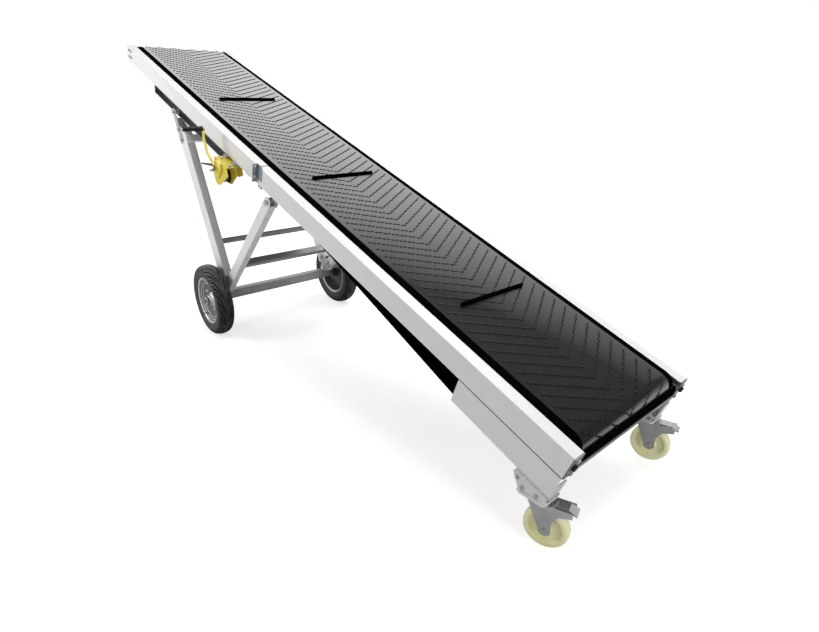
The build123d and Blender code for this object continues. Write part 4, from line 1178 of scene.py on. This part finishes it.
    def cleats(self) -> list[Piece]:
        """Model one cleat and set copies along the belt.

        Returns:
            The cleats, bent along the path.
        """
        size = self.sizes
        cleat = Bench.block("cleat", (-size.cleat_foot, -size.cleat_half, -size.cleat_sink),
                            (size.cleat_foot, size.cleat_half, size.cleat_height))
        Bench.taper(cleat, Axis.UP, size.cleat_top)
        Bench.bevel(cleat, size.cleat_round)
        start = size.head[0] - size.tail[0] + math.pi * size.drum_reach
        places = [along - size.tail[0] for along in size.top_cleats]
        for along in size.back_cleats:
            sloped = max(0.0, size.idler - along)
            level = start + size.head[0] - along - sloped
            places.append(level + sloped / math.cos(math.radians(size.slack)))
        made = [Bench.copy(cleat, Matrix.Translation((place, 0.0, 0.0))) for place in places]
        Bench.drop(cleat)
        # The cleats take the flat black of the painted shade
        return [self.dress_and_bend(piece, Paints.SHADE_BLACK) for piece in made]

    def build(self) -> None:
        """Model the whole belt, put it on the bed and let it stand for the CAD loop."""
        belt = Bench.join("chevron_belt", [*self.cleats(), self.ribs(), self.mat()])
        Bench.drop(self.path)
        self.keep(belt, "belt_rubber", "bed", "belt_loop", place=BED.matrix(), angle=28.0)


@dataclass
class TyreSizes:
    """Section and tread of a road tyre.

    The tread is laid out in columns of facets round the tyre and in shares of its half width,
    from 0 at the crown to 1 at the shoulder.
    """

    track: float = 0.453
    radius: float = 0.220
    half_width: float = 0.049
    shoulder_drop: float = 0.036
    square: float = 0.85  # power that squares the crown's curve
    crown_rows: int = 11
    side_rows: Section = (
        (0.0486, 0.178), (0.0478, 0.172), (0.0484, 0.1705), (0.0476, 0.169), (0.0462, 0.160),
        (0.0448, 0.1535), (0.0452, 0.1515), (0.0440, 0.1500), (0.0410, 0.1470),
        (0.0405, 0.1440), (0.0335, 0.1400), (0.0300, 0.1369))

    columns: int = 168
    repeat: int = 12  # columns of one repeat of the pattern
    sweep: float = math.radians(44.0)
    sweep_power: float = 1.6
    depth: float = 0.0048
    shoulder_share: float = 0.98  # of the shoulder's drop that has tread
    centre_rib: float = 0.13
    widening: float = 3.0  # columns that a groove gains towards the crown
    widening_power: float = 0.8
    cut_columns: tuple[int, ...] = (6, 7)
    cut_shares: tuple[float, float] = (0.45, 0.97)
    notch_columns: tuple[int, ...] = (4, 10)
    notch_share: float = 0.80


class TreadTyre(Assembly):
    """Road tyre with long swept grooves and shoulder notches."""

    sizes = TyreSizes()

    def turn_at(self, along: float) -> float:
        """Angle that the tread's lines have run round the tyre at a place across it."""
        share = min(1.0, abs(along) / self.sizes.half_width)
        return self.sizes.sweep * (1.0 - share) ** self.sizes.sweep_power

    def section(self) -> Section:
        """Closed section of the tyre from one bead over the crown to the other.

        Returns:
            Its points, each a place across the tyre and a radius.
        """
        size = self.sizes
        half: list[tuple[float, float]] = []
        for row in range(size.crown_rows + 1):
            angle = math.radians(90.0) * row / size.crown_rows
            drop = size.shoulder_drop * (1.0 - math.cos(angle) ** size.square)
            half.append((size.half_width * math.sin(angle) ** size.square, size.radius - drop))
        half += size.side_rows
        return [(-along, reach) for along, reach in reversed(half[1:])] + half

    def is_groove(self, face: bpy.types.MeshPolygon) -> bool:
        """Tell whether a face of the carcass lies in a groove, a cut or a notch.

        Args:
            face: face of the turned carcass.

        Returns:
            Whether it is cut away.
        """
        size = self.sizes
        along, reach = face.center.y, math.hypot(face.center.x, face.center.z)
        share = abs(along) / size.half_width
        shoulder = size.radius - size.shoulder_drop * size.shoulder_share
        if reach < shoulder or share < size.centre_rib:
            return False
        turn = math.atan2(face.center.z, face.center.x) - self.turn_at(along)
        column = math.floor(turn / (2.0 * math.pi) * size.columns) % size.repeat
        if along < 0.0:
            column = (column + size.repeat // 2) % size.repeat
        wide = 1 + round(size.widening * (1.0 - share) ** size.widening_power)
        near, far = size.cut_shares
        cut = column in size.cut_columns and near < share < far
        notch = column in size.notch_columns and share > size.notch_share
        return column < wide or cut or notch

    def build(self) -> None:
        """Model one tyre, cut its tread and set a copy on each wheel."""
        size = self.sizes
        section = self.section()
        turns = [self.turn_at(along) for along, _ in section]
        tyre = Bench.lathe("tyre", section, size.columns, turns=turns)
        tyre.data.materials.append(self.paints.get(Paints.TYRE))
        # The second material, flat black without reflection, is painted shade on the groove faces
        tyre.data.materials.append(self.paints.get(Paints.GROOVE_SHADE))
        Bench.select_faces(tyre, self.is_groove)
        tyre.active_material_index = 1
        bpy.ops.object.material_slot_assign()
        bpy.ops.mesh.extrude_region_shrink_fatten(
            TRANSFORM_OT_shrink_fatten={"value": -size.depth})
        Bench.clear()
        for side, sign in SIDES:
            place = Matrix.Translation((0.0, sign * size.track, size.radius))
            twin = Bench.copy(tyre, place, f"tread_tyre_{side}")
            self.keep(twin, "tyre", f"wheel_{side}", f"tyre_{side}", angle=32.0)
        Bench.drop(tyre)


@dataclass
class RimSizes:
    """Details of a pressed wheel rim: turned sections are places along the axle and radii."""

    track: float = 0.453
    axle_height: float = 0.220
    flange: Section = (
        (0.0300, 0.1335), (0.0365, 0.1342), (0.0398, 0.1372), (0.0408, 0.1420),
        (0.0400, 0.1462), (0.0375, 0.1478), (0.0362, 0.1462), (0.0372, 0.1430),
        (0.0368, 0.1395), (0.0340, 0.1372), (0.0300, 0.1366))
    # Place along the axle, radius and thickness of each roll pressed into the barrel
    rolls: tuple[tuple[float, float, float], ...] = (
        (0.0262, 0.1245, 0.0026), (0.0205, 0.1085, 0.0030))
    boss: Section = (
        (0.0080, 0.0480), (0.0105, 0.0460), (0.0135, 0.0400), (0.0200, 0.0345),
        (0.0330, 0.0325), (0.0345, 0.0300), (0.0100, 0.0298))
    cap: Section = (
        (0.0421, 0.0102), (0.0421, 0.0235), (0.0445, 0.0235), (0.0452, 0.0222),
        (0.0452, 0.0165), (0.0440, 0.0150))
    nuts: int = 4
    nut_reach: float = 0.066
    nut_face: float = 0.0098
    nut_thread: float = 0.0046
    first_nut: float = math.radians(45.0)
    valve: Section = (
        (0.020, 0.0), (0.020, 0.0045), (0.032, 0.0040), (0.034, 0.0030), (0.050, 0.0030),
        (0.051, 0.0040), (0.058, 0.0040), (0.059, 0.0030), (0.059, 0.0))
    valve_place: Place = (0.060, 0.0, -0.100)


class RimDress(Assembly):
    """Rolled flange, barrel rolls, hub boss, nuts and valve of each road wheel."""

    sizes = RimSizes()

    def build(self, fasteners: "Fasteners") -> None:
        """Model the dress of one rim and set a copy on each wheel.

        Args:
            fasteners: maker of the nuts.
        """
        size = self.sizes
        front = Bench.lathe("flange", size.flange, steps=72)
        parts = [front, Bench.copy(front, Matrix.Scale(-1.0, 4, Axis.LEFT.value))]
        parts += [Bench.ring("roll", (0.0, along, 0.0), reach, thick, Axis.LEFT.value,
                             around=72, section=8) for along, reach, thick in size.rolls]
        parts += [Bench.lathe("boss", size.boss, steps=48),
                  Bench.lathe("cap", size.cap, steps=36)]
        for index in range(size.nuts):
            turn = size.first_nut + 2.0 * math.pi * index / size.nuts
            place = Vector((size.nut_reach * math.cos(turn), size.nut_face,
                            size.nut_reach * math.sin(turn)))
            parts.append(fasteners.bolt(place, Axis.LEFT.vector, size.nut_thread, True))
        dress = Bench.join("rim_dress", parts)
        stem = Bench.lathe("valve", size.valve, steps=14)
        for side, sign in SIDES:
            place = Matrix.Translation((0.0, sign * size.track, size.axle_height))
            place @= Matrix.Scale(sign, 4, Axis.LEFT.value)
            twin = Bench.copy(dress, place, f"rim_dress_{side}")
            self.keep(twin, "rim_silver", f"wheel_{side}")
            at_valve = place @ Matrix.Translation(size.valve_place)
            valve = Bench.copy(stem, at_valve, f"valve_{side}")
            self.keep(valve, "black_grip", f"wheel_{side}")
        Bench.drop(dress, stem)


@dataclass(frozen=True)
class Bolt:
    """One fastener: its place, the way its head faces, thread radius and kind."""

    place: Place
    facing: Axis
    thread: float
    nut: bool = False
    both_sides: bool = True


@dataclass(frozen=True)
class Bar:
    """One part of a fastener, in thread radii: radius, ends, flats and rounding of its edges."""

    reach: float
    low: float
    high: float
    sides: int
    rounding: float
    segments: int = 1


class Fasteners(Assembly):
    """Hexagon bolts and nuts with washers, set from short tables."""

    BED = (
        # Tail end plates
        Bolt((-0.005, 0.3400, -0.018), Axis.BACK, 0.0040),
        Bolt((-0.005, 0.3400, -0.078), Axis.BACK, 0.0040),
        # Bearing blocks of the head drum
        *(Bolt((along, 0.365, above), Axis.LEFT, 0.0042)
          for above in (-0.023, -0.063) for along in (3.870, 3.906)),
        # Hangers of the return idler
        Bolt((2.170, 0.344, -0.097), Axis.DOWN, 0.0040),
        # Winch blocks and winch plate
        Bolt((2.211, 0.360, -0.109), Axis.DOWN, 0.0050, nut=True, both_sides=False),
        Bolt((2.310, 0.360, -0.109), Axis.DOWN, 0.0050, nut=True, both_sides=False),
        Bolt((2.196, 0.404, -0.105), Axis.UP, 0.0040, both_sides=False),
        Bolt((2.300, 0.400, -0.105), Axis.UP, 0.0040, both_sides=False),
        # Side bracket
        Bolt((1.963, 0.380, -0.001), Axis.BACK, 0.0045, both_sides=False),
        Bolt((1.963, 0.380, -0.053), Axis.BACK, 0.0045, both_sides=False),
        Bolt((1.966, 0.380, -0.001), Axis.ALONG, 0.0045, nut=True, both_sides=False),
        Bolt((1.966, 0.380, -0.053), Axis.ALONG, 0.0045, nut=True, both_sides=False),
    )
    CASTERS = (
        # Through the caster plates
        *(Bolt((x, y, 0.195), Axis.UP, 0.0042)
          for x in (-2.413, -2.337) for y in (0.315, 0.366)),
        # On the outer faces of the caster brackets
        *(Bolt((x, 0.382, z), Axis.LEFT, 0.0032)
          for x, z in ((-2.318, 0.2335), (-2.338, 0.2065), (-2.392, 0.2050))),
    )
    # Plates that carry the guide rollers
    STRUT = (
        Bolt((0.872, 0.387, -0.0162), Axis.LEFT, 0.0050),
        Bolt((0.934, 0.387, -0.0162), Axis.LEFT, 0.0050),
    )
    # Parts of a bolt head and of a nut with the thread's end
    WASHER = Bar(2.3, -0.05, 0.35, 20, 0.1)
    HEAD = Bar(1.95, 0.3, 1.65, 6, 0.16, 2)
    NUT = Bar(1.95, 0.3, 1.95, 6, 0.16, 2)
    THREAD = Bar(1.0, 0.4, 2.9, 12, 0.18)

    def __init__(self, paints: Paints) -> None:
        """Model one bolt head and one nut, facing up with unit thread, to copy."""
        super().__init__(paints)
        self.head = self.model("head_master", self.WASHER, self.HEAD)
        self.nut = self.model("nut_master", self.WASHER, self.NUT, self.THREAD)

    @staticmethod
    def model(name: str, *bars: Bar) -> Piece:
        """Model one fastener from its parts.

        Args:
            name: name of the new object.
            bars: its parts, from the washer up.

        Returns:
            The fastener.
        """
        made = []
        for bar in bars:
            rod = Bench.rod("bar", bar.reach, (0.0, 0.0, bar.low), (0.0, 0.0, bar.high),
                            bar.sides)
            made.append(Bench.bevel(rod, bar.rounding, bar.segments))
        return Bench.join(name, made)

    def bolt(self, place: Vector, facing: Vector, thread: float, nut: bool) -> Piece:
        """Copy a bolt or nut to its place.

        Args:
            place: middle of the face that it sits on.
            facing: the way its head faces.
            thread: radius of its thread.
            nut: whether it is a nut.

        Returns:
            The copy.
        """
        turn = facing.to_track_quat("Z", "Y").to_matrix().to_4x4()
        spot = Matrix.Translation(place) @ turn @ Matrix.Scale(thread, 4)
        return Bench.copy(self.nut if nut else self.head, spot)

    def set_bolt(self, entry: Bolt, own_axes: Matrix) -> list[Piece]:
        """Set one fastener of a table, on both sides of the machine where it says so.

        Args:
            entry: the fastener.
            own_axes: matrix of the axes that its table is written in.

        Returns:
            The one or two copies.
        """
        made = []
        for sign in SIGNS if entry.both_sides else SIGNS[:1]:
            x, y, z = entry.place
            facing = entry.facing.vector
            facing.y *= sign
            made.append(self.bolt(own_axes @ Vector((x, sign * y, z)),
                                  own_axes.to_3x3() @ facing, entry.thread, entry.nut))
        return made

    def build(self) -> None:
        """Set every fastener of the tables and join them body by body."""
        for name, body, table, own_axes in (
                ("bed_fasteners", "bed", self.BED, BED.matrix()),
                ("caster_plate_fasteners", "bed", self.CASTERS, Matrix.Identity(4)),
                ("strut_fasteners", "strut_frame", self.STRUT, STRUT.matrix())):
            made = [piece for entry in table for piece in self.set_bolt(entry, own_axes)]
            self.keep(Bench.join(name, made), "galvanised", body)

    def clear_away(self) -> None:
        """Remove the two masters."""
        Bench.drop(self.head, self.nut)


@dataclass
class CasterSizes:
    """Sizes of a caster and its wheel."""

    place: tuple[float, float] = (-2.375, 0.347)
    trail: float = 0.038
    radius: float = 0.075
    # Name, sign of Y and yaw in degrees of each caster
    yaws: tuple[tuple[str, float, float], ...] = (("left", 1.0, -19.5), ("right", -1.0, -15.0))
    half_section: Section = (
        (0.0235, 0.0061), (0.0235, 0.0150), (0.0215, 0.0185), (0.0190, 0.0200),
        (0.0090, 0.0225), (0.0070, 0.0255), (0.0070, 0.0500), (0.0085, 0.0525),
        (0.0165, 0.0550), (0.0186, 0.0568), (0.0190, 0.0590), (0.0190, 0.0655),
        (0.0176, 0.0696), (0.0145, 0.0728), (0.0100, 0.0746), (0.0050, 0.0750))
    race_height: float = 0.1790
    race_reach: float = 0.0335
    race_thick: float = 0.0042
    treads: int = 5
    tread_start: float = 0.066
    tread_pitch: float = 0.0085
    tread_width: float = 0.0035
    tread_half: float = 0.0185
    tread_heights: tuple[float, float] = (0.1770, 0.1787)
    tread_round: float = 0.0006


class CasterDress(Assembly):
    """Moulded caster wheels, ball races and brake pedal treads."""

    sizes = CasterSizes()

    def wheel(self) -> Piece:
        """Model one moulded wheel with its stepped recesses, about its own axle."""
        near = list(self.sizes.half_section)
        far = [(-along, reach) for along, reach in reversed(near)]
        return Bench.lathe("caster_wheel", near + far, steps=56)

    def pedal_treads(self, place: Matrix) -> list[Piece]:
        """Model the treads of one brake pedal and set them on its caster.

        Args:
            place: place and turn of the caster.

        Returns:
            The treads.
        """
        size = self.sizes
        low, high = size.tread_heights
        made = []
        for index in range(size.treads):
            start = size.tread_start + size.tread_pitch * index
            tread = Bench.block("tread", (start, -size.tread_half, low),
                                (start + size.tread_width, size.tread_half, high))
            made.append(Bench.settle_at(Bench.bevel(tread, size.tread_round, segments=1), place))
        return made

    def build(self) -> None:
        """Set both casters' wheels, races and pedal treads."""
        size = self.sizes
        wheel = self.wheel()
        for side, sign, yaw in size.yaws:
            x, y = size.place[0], sign * size.place[1]
            turn = Matrix.Rotation(math.radians(180.0 - yaw), 4, "Z")
            place = Matrix.Translation((x, y, 0.0)) @ turn
            axle = place @ Matrix.Translation((size.trail, 0.0, size.radius))
            twin = Bench.copy(wheel, axle, f"moulded_wheel_{side}")
            self.keep(twin, "caster_plastic", f"caster_wheel_{side}", f"caster_wheel_{side}",
                      angle=40.0)
            race = Bench.ring(f"ball_race_{side}", (x, y, size.race_height), size.race_reach,
                              size.race_thick, Axis.UP.value)
            self.keep(race, "galvanised", "bed")
            treads = Bench.join(f"pedal_treads_{side}", self.pedal_treads(place))
            self.keep(treads, "galvanised", f"caster_fork_{side}")
        Bench.drop(wheel)


@dataclass(frozen=True)
class Gear:
    """A toothed wheel: radius over its teeth, number of teeth and its two faces across."""

    reach: float
    teeth: int
    faces: tuple[float, float]


@dataclass
class WinchSizes:
    """Places and sizes of the winch's details, along the bed, across it and above the rails."""

    drum: tuple[float, float] = (2.262, -0.190)
    hub: tuple[float, float] = (2.268, -0.140)
    cable: float = 0.0023
    coil_reach: float = 0.0258
    first_coil: float = 0.3890
    coils: int = 8
    ratchet: Gear = Gear(0.036, 22, (0.3795, 0.3850))
    pinion: Gear = Gear(0.0135, 10, (0.3795, 0.3920))
    cover: Section = (
        (0.4282, 0.0395), (0.4390, 0.0395), (0.4420, 0.0380), (0.4436, 0.0345),
        (0.4440, 0.0300), (0.4440, 0.0215), (0.4455, 0.0200), (0.4462, 0.0180),
        (0.4462, 0.0120), (0.4282, 0.0120))
    screws: int = 3
    screw_reach: float = 0.0285
    screw_face: float = 0.4440
    screw_thread: float = 0.0021
    first_screw: float = 100.0  # degrees round the hub
    # The dark bar: its block's corners, its run from there and the narrowing of its tip
    bar_low: Place = (2.322, 0.402, -0.176)
    bar_high: Place = (2.352, 0.412, -0.160)
    bar_run: Place = (0.200, 0.0, -0.075)
    bar_tip: Stretch = (1.0, 0.8, 0.6)
    bar_round: float = 0.0022
    # The cable's hook: centre, radius, thickness and axis of each ring, and its shank
    hook_rings: tuple[tuple[Place, float, float, Place], ...] = (
        ((2.388, 0.407, -0.207), 0.0120, 0.0036, (0.0, 1.0, 0.0)),
        ((2.412, 0.407, -0.222), 0.0110, 0.0034, (0.3, 0.3, 1.0)))
    shank: tuple[Place, Place] = ((2.326, 0.407, -0.178), (2.378, 0.407, -0.201))
    shank_reach: float = 0.0046
    shank_round: float = 0.001


@dataclass
class CrankSizes:
    """Fittings of the crank, each section from the crank's outer face or the grip's end."""

    face: float = 0.4535
    grip: tuple[float, float] = (2.416, 0.010)  # along the bed and above the rails
    grip_end: float = 0.5575
    sleeve: Section = ((0.0, 0.0082), (0.0, 0.0135), (0.0012, 0.0142), (0.0030, 0.0138),
                       (0.0034, 0.0124), (0.0022, 0.0082))
    shaft_face: float = 0.0081
    shaft: Section = ((0.0, 0.0), (0.0, 0.0078), (0.0014, 0.0074), (0.0026, 0.0058),
                      (0.0032, 0.0))
    collar: Section = ((0.0, 0.0115), (0.0010, 0.0128), (0.0045, 0.0130), (0.0060, 0.0115))
    inner_collar: float = 0.0004
    outer_collar: float = -0.0110
    grip_foot: Section = ((0.0, 0.0), (0.0, 0.0095), (0.0025, 0.0120))
    grip_top: Section = ((-0.0025, 0.0120), (0.0, 0.0098), (0.0, 0.0080), (-0.0045, 0.0078),
                         (-0.0045, 0.0))
    bolt: Section = ((-0.0046, 0.0), (-0.0046, 0.0064), (-0.0018, 0.0064), (-0.0006, 0.0050),
                     (-0.0004, 0.0))
    nut: Section = ((-0.0062, 0.0), (-0.0062, 0.0070), (-0.0100, 0.0066), (-0.0106, 0.0))


class WinchDress(Assembly):
    """Rolled cover, cable coils, gears, hook and crank fittings of the hand winch."""

    sizes = WinchSizes()
    crank_sizes = CrankSizes()
    # Shares of a gear's radius: its body's radius, the narrowing of a tooth and its height
    ROOT = 0.86
    NARROWING = 0.012
    TOOTH = 0.14

    @staticmethod
    def about(centre: tuple[float, float]) -> Matrix:
        """Place of a turned piece whose axis crosses the bed at a point of its side view."""
        return BED.matrix() @ Matrix.Translation((centre[0], 0.0, centre[1]))

    @staticmethod
    def gear(name: str, gear: Gear) -> Piece:
        """Model a toothed wheel: every second facet of a short bar is drawn out.

        Args:
            name: name of the new object.
            gear: its sizes.

        Returns:
            The wheel about the Y axis.
        """
        low, high = gear.faces
        wheel = Bench.rod(name, gear.reach * WinchDress.ROOT, (0.0, low, 0.0),
                          (0.0, high, 0.0), 2 * gear.teeth)
        rim = [face for face in wheel.data.polygons if abs(face.normal.y) < 0.5]
        rim.sort(key=lambda face: math.atan2(face.center.z, face.center.x))
        chosen = {face.index for face in rim[1::2]}
        Bench.select_faces(wheel, lambda face: face.index in chosen)
        bpy.ops.mesh.inset(thickness=gear.reach * WinchDress.NARROWING, use_individual=True)
        bpy.ops.mesh.extrude_faces_move(
            TRANSFORM_OT_shrink_fatten={"value": gear.reach * WinchDress.TOOTH})
        Bench.clear()
        return wheel

    def cover(self, fasteners: "Fasteners") -> Piece:
        """Model the rolled cover with its screws, about the hub.

        Args:
            fasteners: maker of the screws.

        Returns:
            The cover about the Y axis.
        """
        size = self.sizes
        parts = [Bench.lathe("cover", size.cover, steps=56)]
        for index in range(size.screws):
            turn = math.radians(size.first_screw + 360.0 / size.screws * index)
            place = Vector((size.screw_reach * math.cos(turn), size.screw_face,
                            size.screw_reach * math.sin(turn)))
            parts.append(fasteners.bolt(place, Axis.LEFT.vector, size.screw_thread, False))
        return Bench.join("rolled_cover", parts)

    def coils(self) -> Piece:
        """Model the wound part of the cable, coil by coil, about the drum.

        Returns:
            The coils about the Y axis.
        """
        size = self.sizes
        made = []
        for index in range(size.coils):
            centre = (0.0, size.first_coil + 2.0 * size.cable * index, 0.0)
            made.append(Bench.ring("coil", centre, size.coil_reach, size.cable,
                                   Axis.LEFT.value, around=40, section=8))
        return Bench.join("cable_coils", made)

    def hook(self) -> None:
        """Model the dark bar and the hook that stand out from the outer cheek's head edge."""
        size = self.sizes
        bar = Bench.block("tongue", size.bar_low, size.bar_high)
        Bench.draw_out(bar, Axis.ALONG, size.bar_run)
        Bench.taper(bar, Axis.ALONG, size.bar_tip)
        Bench.bevel(bar, size.bar_round)
        self.keep(bar, "black_grip", "bed", place=BED.matrix())
        parts = [Bench.ring("hook_ring", *ring, around=28) for ring in size.hook_rings]
        shank = Bench.rod("shank", size.shank_reach, *size.shank, sides=14)
        parts.append(Bench.bevel(shank, size.shank_round, segments=1))
        self.keep(Bench.join("cable_hook", parts), "drum_steel", "bed", place=BED.matrix())

    def crank(self, at_hub: Matrix) -> None:
        """Model the sleeve and the shaft's end at the hub, and the grip with its fittings.

        Args:
            at_hub: place of a piece turned about the hub.
        """
        size = self.crank_sizes
        face, end = size.face, size.grip_end
        at_grip = self.about(size.grip)
        sleeve = Bench.lathe("sleeve", size.sleeve, steps=32, at=face)
        self.keep(sleeve, "black_grip", "crank", place=at_hub)
        shaft = Bench.lathe("shaft_end", size.shaft, steps=28, at=face + size.shaft_face)
        self.keep(shaft, "drum_steel", "crank", place=at_hub)
        collars = [Bench.lathe("collar", size.collar, steps=32, at=at)
                   for at in (face + size.inner_collar, end + size.outer_collar)]
        self.keep(Bench.join("grip_collars", collars), "black_grip", "crank", place=at_grip)
        section = [(face + along, reach) for along, reach in size.grip_foot]
        section += [(end + along, reach) for along, reach in size.grip_top]
        grip = Bench.lathe("moulded_grip", section, steps=40)
        self.keep(grip, "black_grip", "crank", "crank_grip", place=at_grip)
        parts = [Bench.lathe("bolt", size.bolt, steps=24, at=end),
                 Bench.lathe("nut", size.nut, steps=6, at=face)]
        self.keep(Bench.join("grip_bolt", parts), "drum_steel", "crank", place=at_grip)

    def build(self, fasteners: Fasteners) -> None:
        """Model and place all details of the winch.

        Args:
            fasteners: maker of the screws.
        """
        size = self.sizes
        at_drum, at_hub = self.about(size.drum), self.about(size.hub)
        self.keep(self.cover(fasteners), "yellow_paint", "bed", place=at_hub)
        self.keep(self.coils(), "wire_rope", "bed", place=at_drum)
        wheels = [Bench.settle_at(self.gear("ratchet", size.ratchet), at_drum),
                  Bench.settle_at(self.gear("pinion", size.pinion), at_hub)]
        self.keep(Bench.join("winch_gears", wheels), "black_grip", "bed", angle=30.0)
        self.hook()
        self.crank(at_hub)


class Welds(Assembly):
    """Weld beads where the legs, bars and beams meet."""

    # Start and end of each bead on the left side, in the machine's axes
    REAR = (
        ((-0.049, 0.3420, 0.263), (0.024, 0.3420, 0.263)),
        ((-0.049, 0.3800, 0.263), (0.024, 0.3800, 0.263)),
        ((0.025, 0.3420, 0.262), (0.025, 0.3800, 0.262)),
        ((-0.2675, 0.3415, 0.5115), (-0.2375, 0.3415, 0.4851)),
        ((-0.2913, 0.3415, 0.4849), (-0.2613, 0.3415, 0.4585)),
    )
    STRUT = (
        ((0.0510, 0.3360, 0.5440), (0.0910, 0.3360, 0.5440)),
        ((0.0510, 0.3360, 0.5440), (0.0510, 0.3360, 0.5680)),
    )
    DROP = 0.0028
    # Distance between drops, in their radii, and how far a drop's leading half is flattened
    SPACING = 0.85
    FLATTENED = (0.6, 1.0, 1.0)

    def bead(self, start: Vector, end: Vector) -> Piece:
        """Model one bead as a close row of flattened drops.

        Args:
            start: first drop.
            end: last drop.

        Returns:
            The bead.
        """
        Bench.clear()
        bpy.ops.mesh.primitive_ico_sphere_add(subdivisions=2, radius=self.DROP)
        drop = bpy.context.object
        Bench.select_faces(drop, lambda face: face.center.x > 0.0)
        bpy.ops.transform.resize(value=self.FLATTENED)
        Bench.clear()
        run = end - start
        count = max(2, round(run.length / (self.DROP * self.SPACING)))
        Bench.repeat(drop, count, (run.length / (count - 1), 0.0, 0.0))
        turn = run.to_track_quat("X", "Z").to_matrix().to_4x4()
        return Bench.settle_at(drop, Matrix.Translation(start) @ turn)

    def build(self) -> None:
        """Lay every bead on both sides of the machine."""
        for name, body, table in (("rear_welds", "rear_frame", self.REAR),
                                  ("strut_welds", "strut_frame", self.STRUT)):
            beads = [self.bead(*(Vector((x, sign * y, z)) for x, y, z in ends))
                     for ends in table for sign in SIGNS]
            self.keep(Bench.join(name, beads), "frame_paint", body, angle=60.0)


@dataclass
class TrimSizes:
    """Places and sizes of the bed's trim, along the bed, across it and above the rails."""

    # The black strip of painted shade in the seam under each rail: its run along the bed, its
    # inner and outer side and its height
    seam_run: tuple[float, float] = (0.002, 0.454)
    seam_across: tuple[float, float] = (0.3615, 0.3653)
    seam_above: tuple[float, float] = (-0.0957, -0.0923)
    seam_round: float = 0.0004
    # The dark sheet across the tail, painted shade in the gap behind the tail pulley: its upright
    # part's corners, and the lean of its upper part towards the belt
    shade_sheet_low: Place = (-0.0022, -0.3140, -0.0870)
    shade_sheet_high: Place = (0.0018, 0.3140, -0.0400)
    shade_sheet_lean: Place = (0.0090, 0.0, 0.0150)
    shade_sheet_round: float = 0.0010
    # The knobs: their section from the rails' end, and the take-up screw that each sits on
    knob: Section = ((0.0052, 0.0), (0.0052, 0.0100), (0.0065, 0.0112), (0.0130, 0.0112),
                     (0.0155, 0.0092), (0.0160, 0.0))
    knob_across: float = 0.347
    knob_above: float = -0.0432
    # The bracket on the strut crossbar, in the machine's axes
    bracket_low: Place = (0.0500, -0.3000, 0.5685)
    bracket_high: Place = (0.0530, -0.2350, 0.6000)
    bracket_top: Stretch = (1.0, 0.6, 1.0)
    bracket_round: float = 0.0008


class BedTrim(Assembly):
    """Painted shade strips in the seams between rail and panel, a sheet of painted shade across
    the tail, the tail's knobs, and the strut's bracket.
    """

    sizes = TrimSizes()

    def seam_shade(self, sign: float) -> Piece:
        """Model the black strip of painted shade in the seam between rail and tail panel on one
        side.

        Args:
            sign: sign of Y on that side.

        Returns:
            The shade strip, along the bed.
        """
        size = self.sizes
        start, end = size.seam_run
        low, high = size.seam_above
        inner, outer = sorted(sign * across for across in size.seam_across)
        seam_shade = Bench.block("seam_shade", (start, inner, low), (end, outer, high))
        return Bench.bevel(seam_shade, size.seam_round, segments=1)

    def knob(self, sign: float) -> Piece:
        """Turn the take-up knob of one side, facing back from the bed's end.

        Args:
            sign: sign of Y on that side.

        Returns:
            The knob, along the bed.
        """
        size = self.sizes
        place = Matrix.Translation((0.0, sign * size.knob_across, size.knob_above))
        backwards = Matrix.Rotation(math.pi / 2, 4, "Z")
        knob = Bench.lathe("knob", size.knob, steps=32)
        return Bench.settle_at(knob, place @ backwards)

    def build(self) -> None:
        """Model and place the trim."""
        size = self.sizes
        # Black strips in the seams under the rails: painted shade in the crease
        seam_shade_strips = Bench.join("panel_seam_shades", [self.seam_shade(sign) for sign in SIGNS])
        self.keep(seam_shade_strips, "black_grip", "bed", place=BED.matrix())
        # A flat black sheet across the tail end: painted shade where the gap behind the tail
        # pulley lies in shadow
        shade_sheet = Bench.block("tail_shade_sheet", size.shade_sheet_low, size.shade_sheet_high)
        Bench.draw_out(shade_sheet, Axis.UP, size.shade_sheet_lean)
        Bench.bevel(shade_sheet, size.shade_sheet_round)
        shade_sheet.data.materials.append(self.paints.get(Paints.SHADE_BLACK))
        self.keep(shade_sheet, "black_grip", "bed", place=BED.matrix())
        knobs = Bench.join("take_up_knobs", [self.knob(sign) for sign in SIGNS])
        self.keep(knobs, "black_grip", "bed", place=BED.matrix())
        bracket = Bench.block("bracket", size.bracket_low, size.bracket_high)
        Bench.taper(bracket, Axis.UP, size.bracket_top)
        Bench.bevel(bracket, size.bracket_round, segments=1)
        self.keep(bracket, "galvanised", "strut_frame")


def main() -> None:
    """Dress the machine piece by piece and set the scene."""
    logging.basicConfig(level=logging.INFO, format="%(message)s")
    paints = Paints()
    paints.dress_frame()
    Studio().build()
    ChevronBelt(paints).build()
    TreadTyre(paints).build()
    fasteners = Fasteners(paints)
    RimDress(paints).build(fasteners)
    CasterDress(paints).build()
    WinchDress(paints).build(fasteners)
    fasteners.build()
    fasteners.clear_away()
    Welds(paints).build()
    BedTrim(paints).build()


if __name__ == "__main__":
    main()
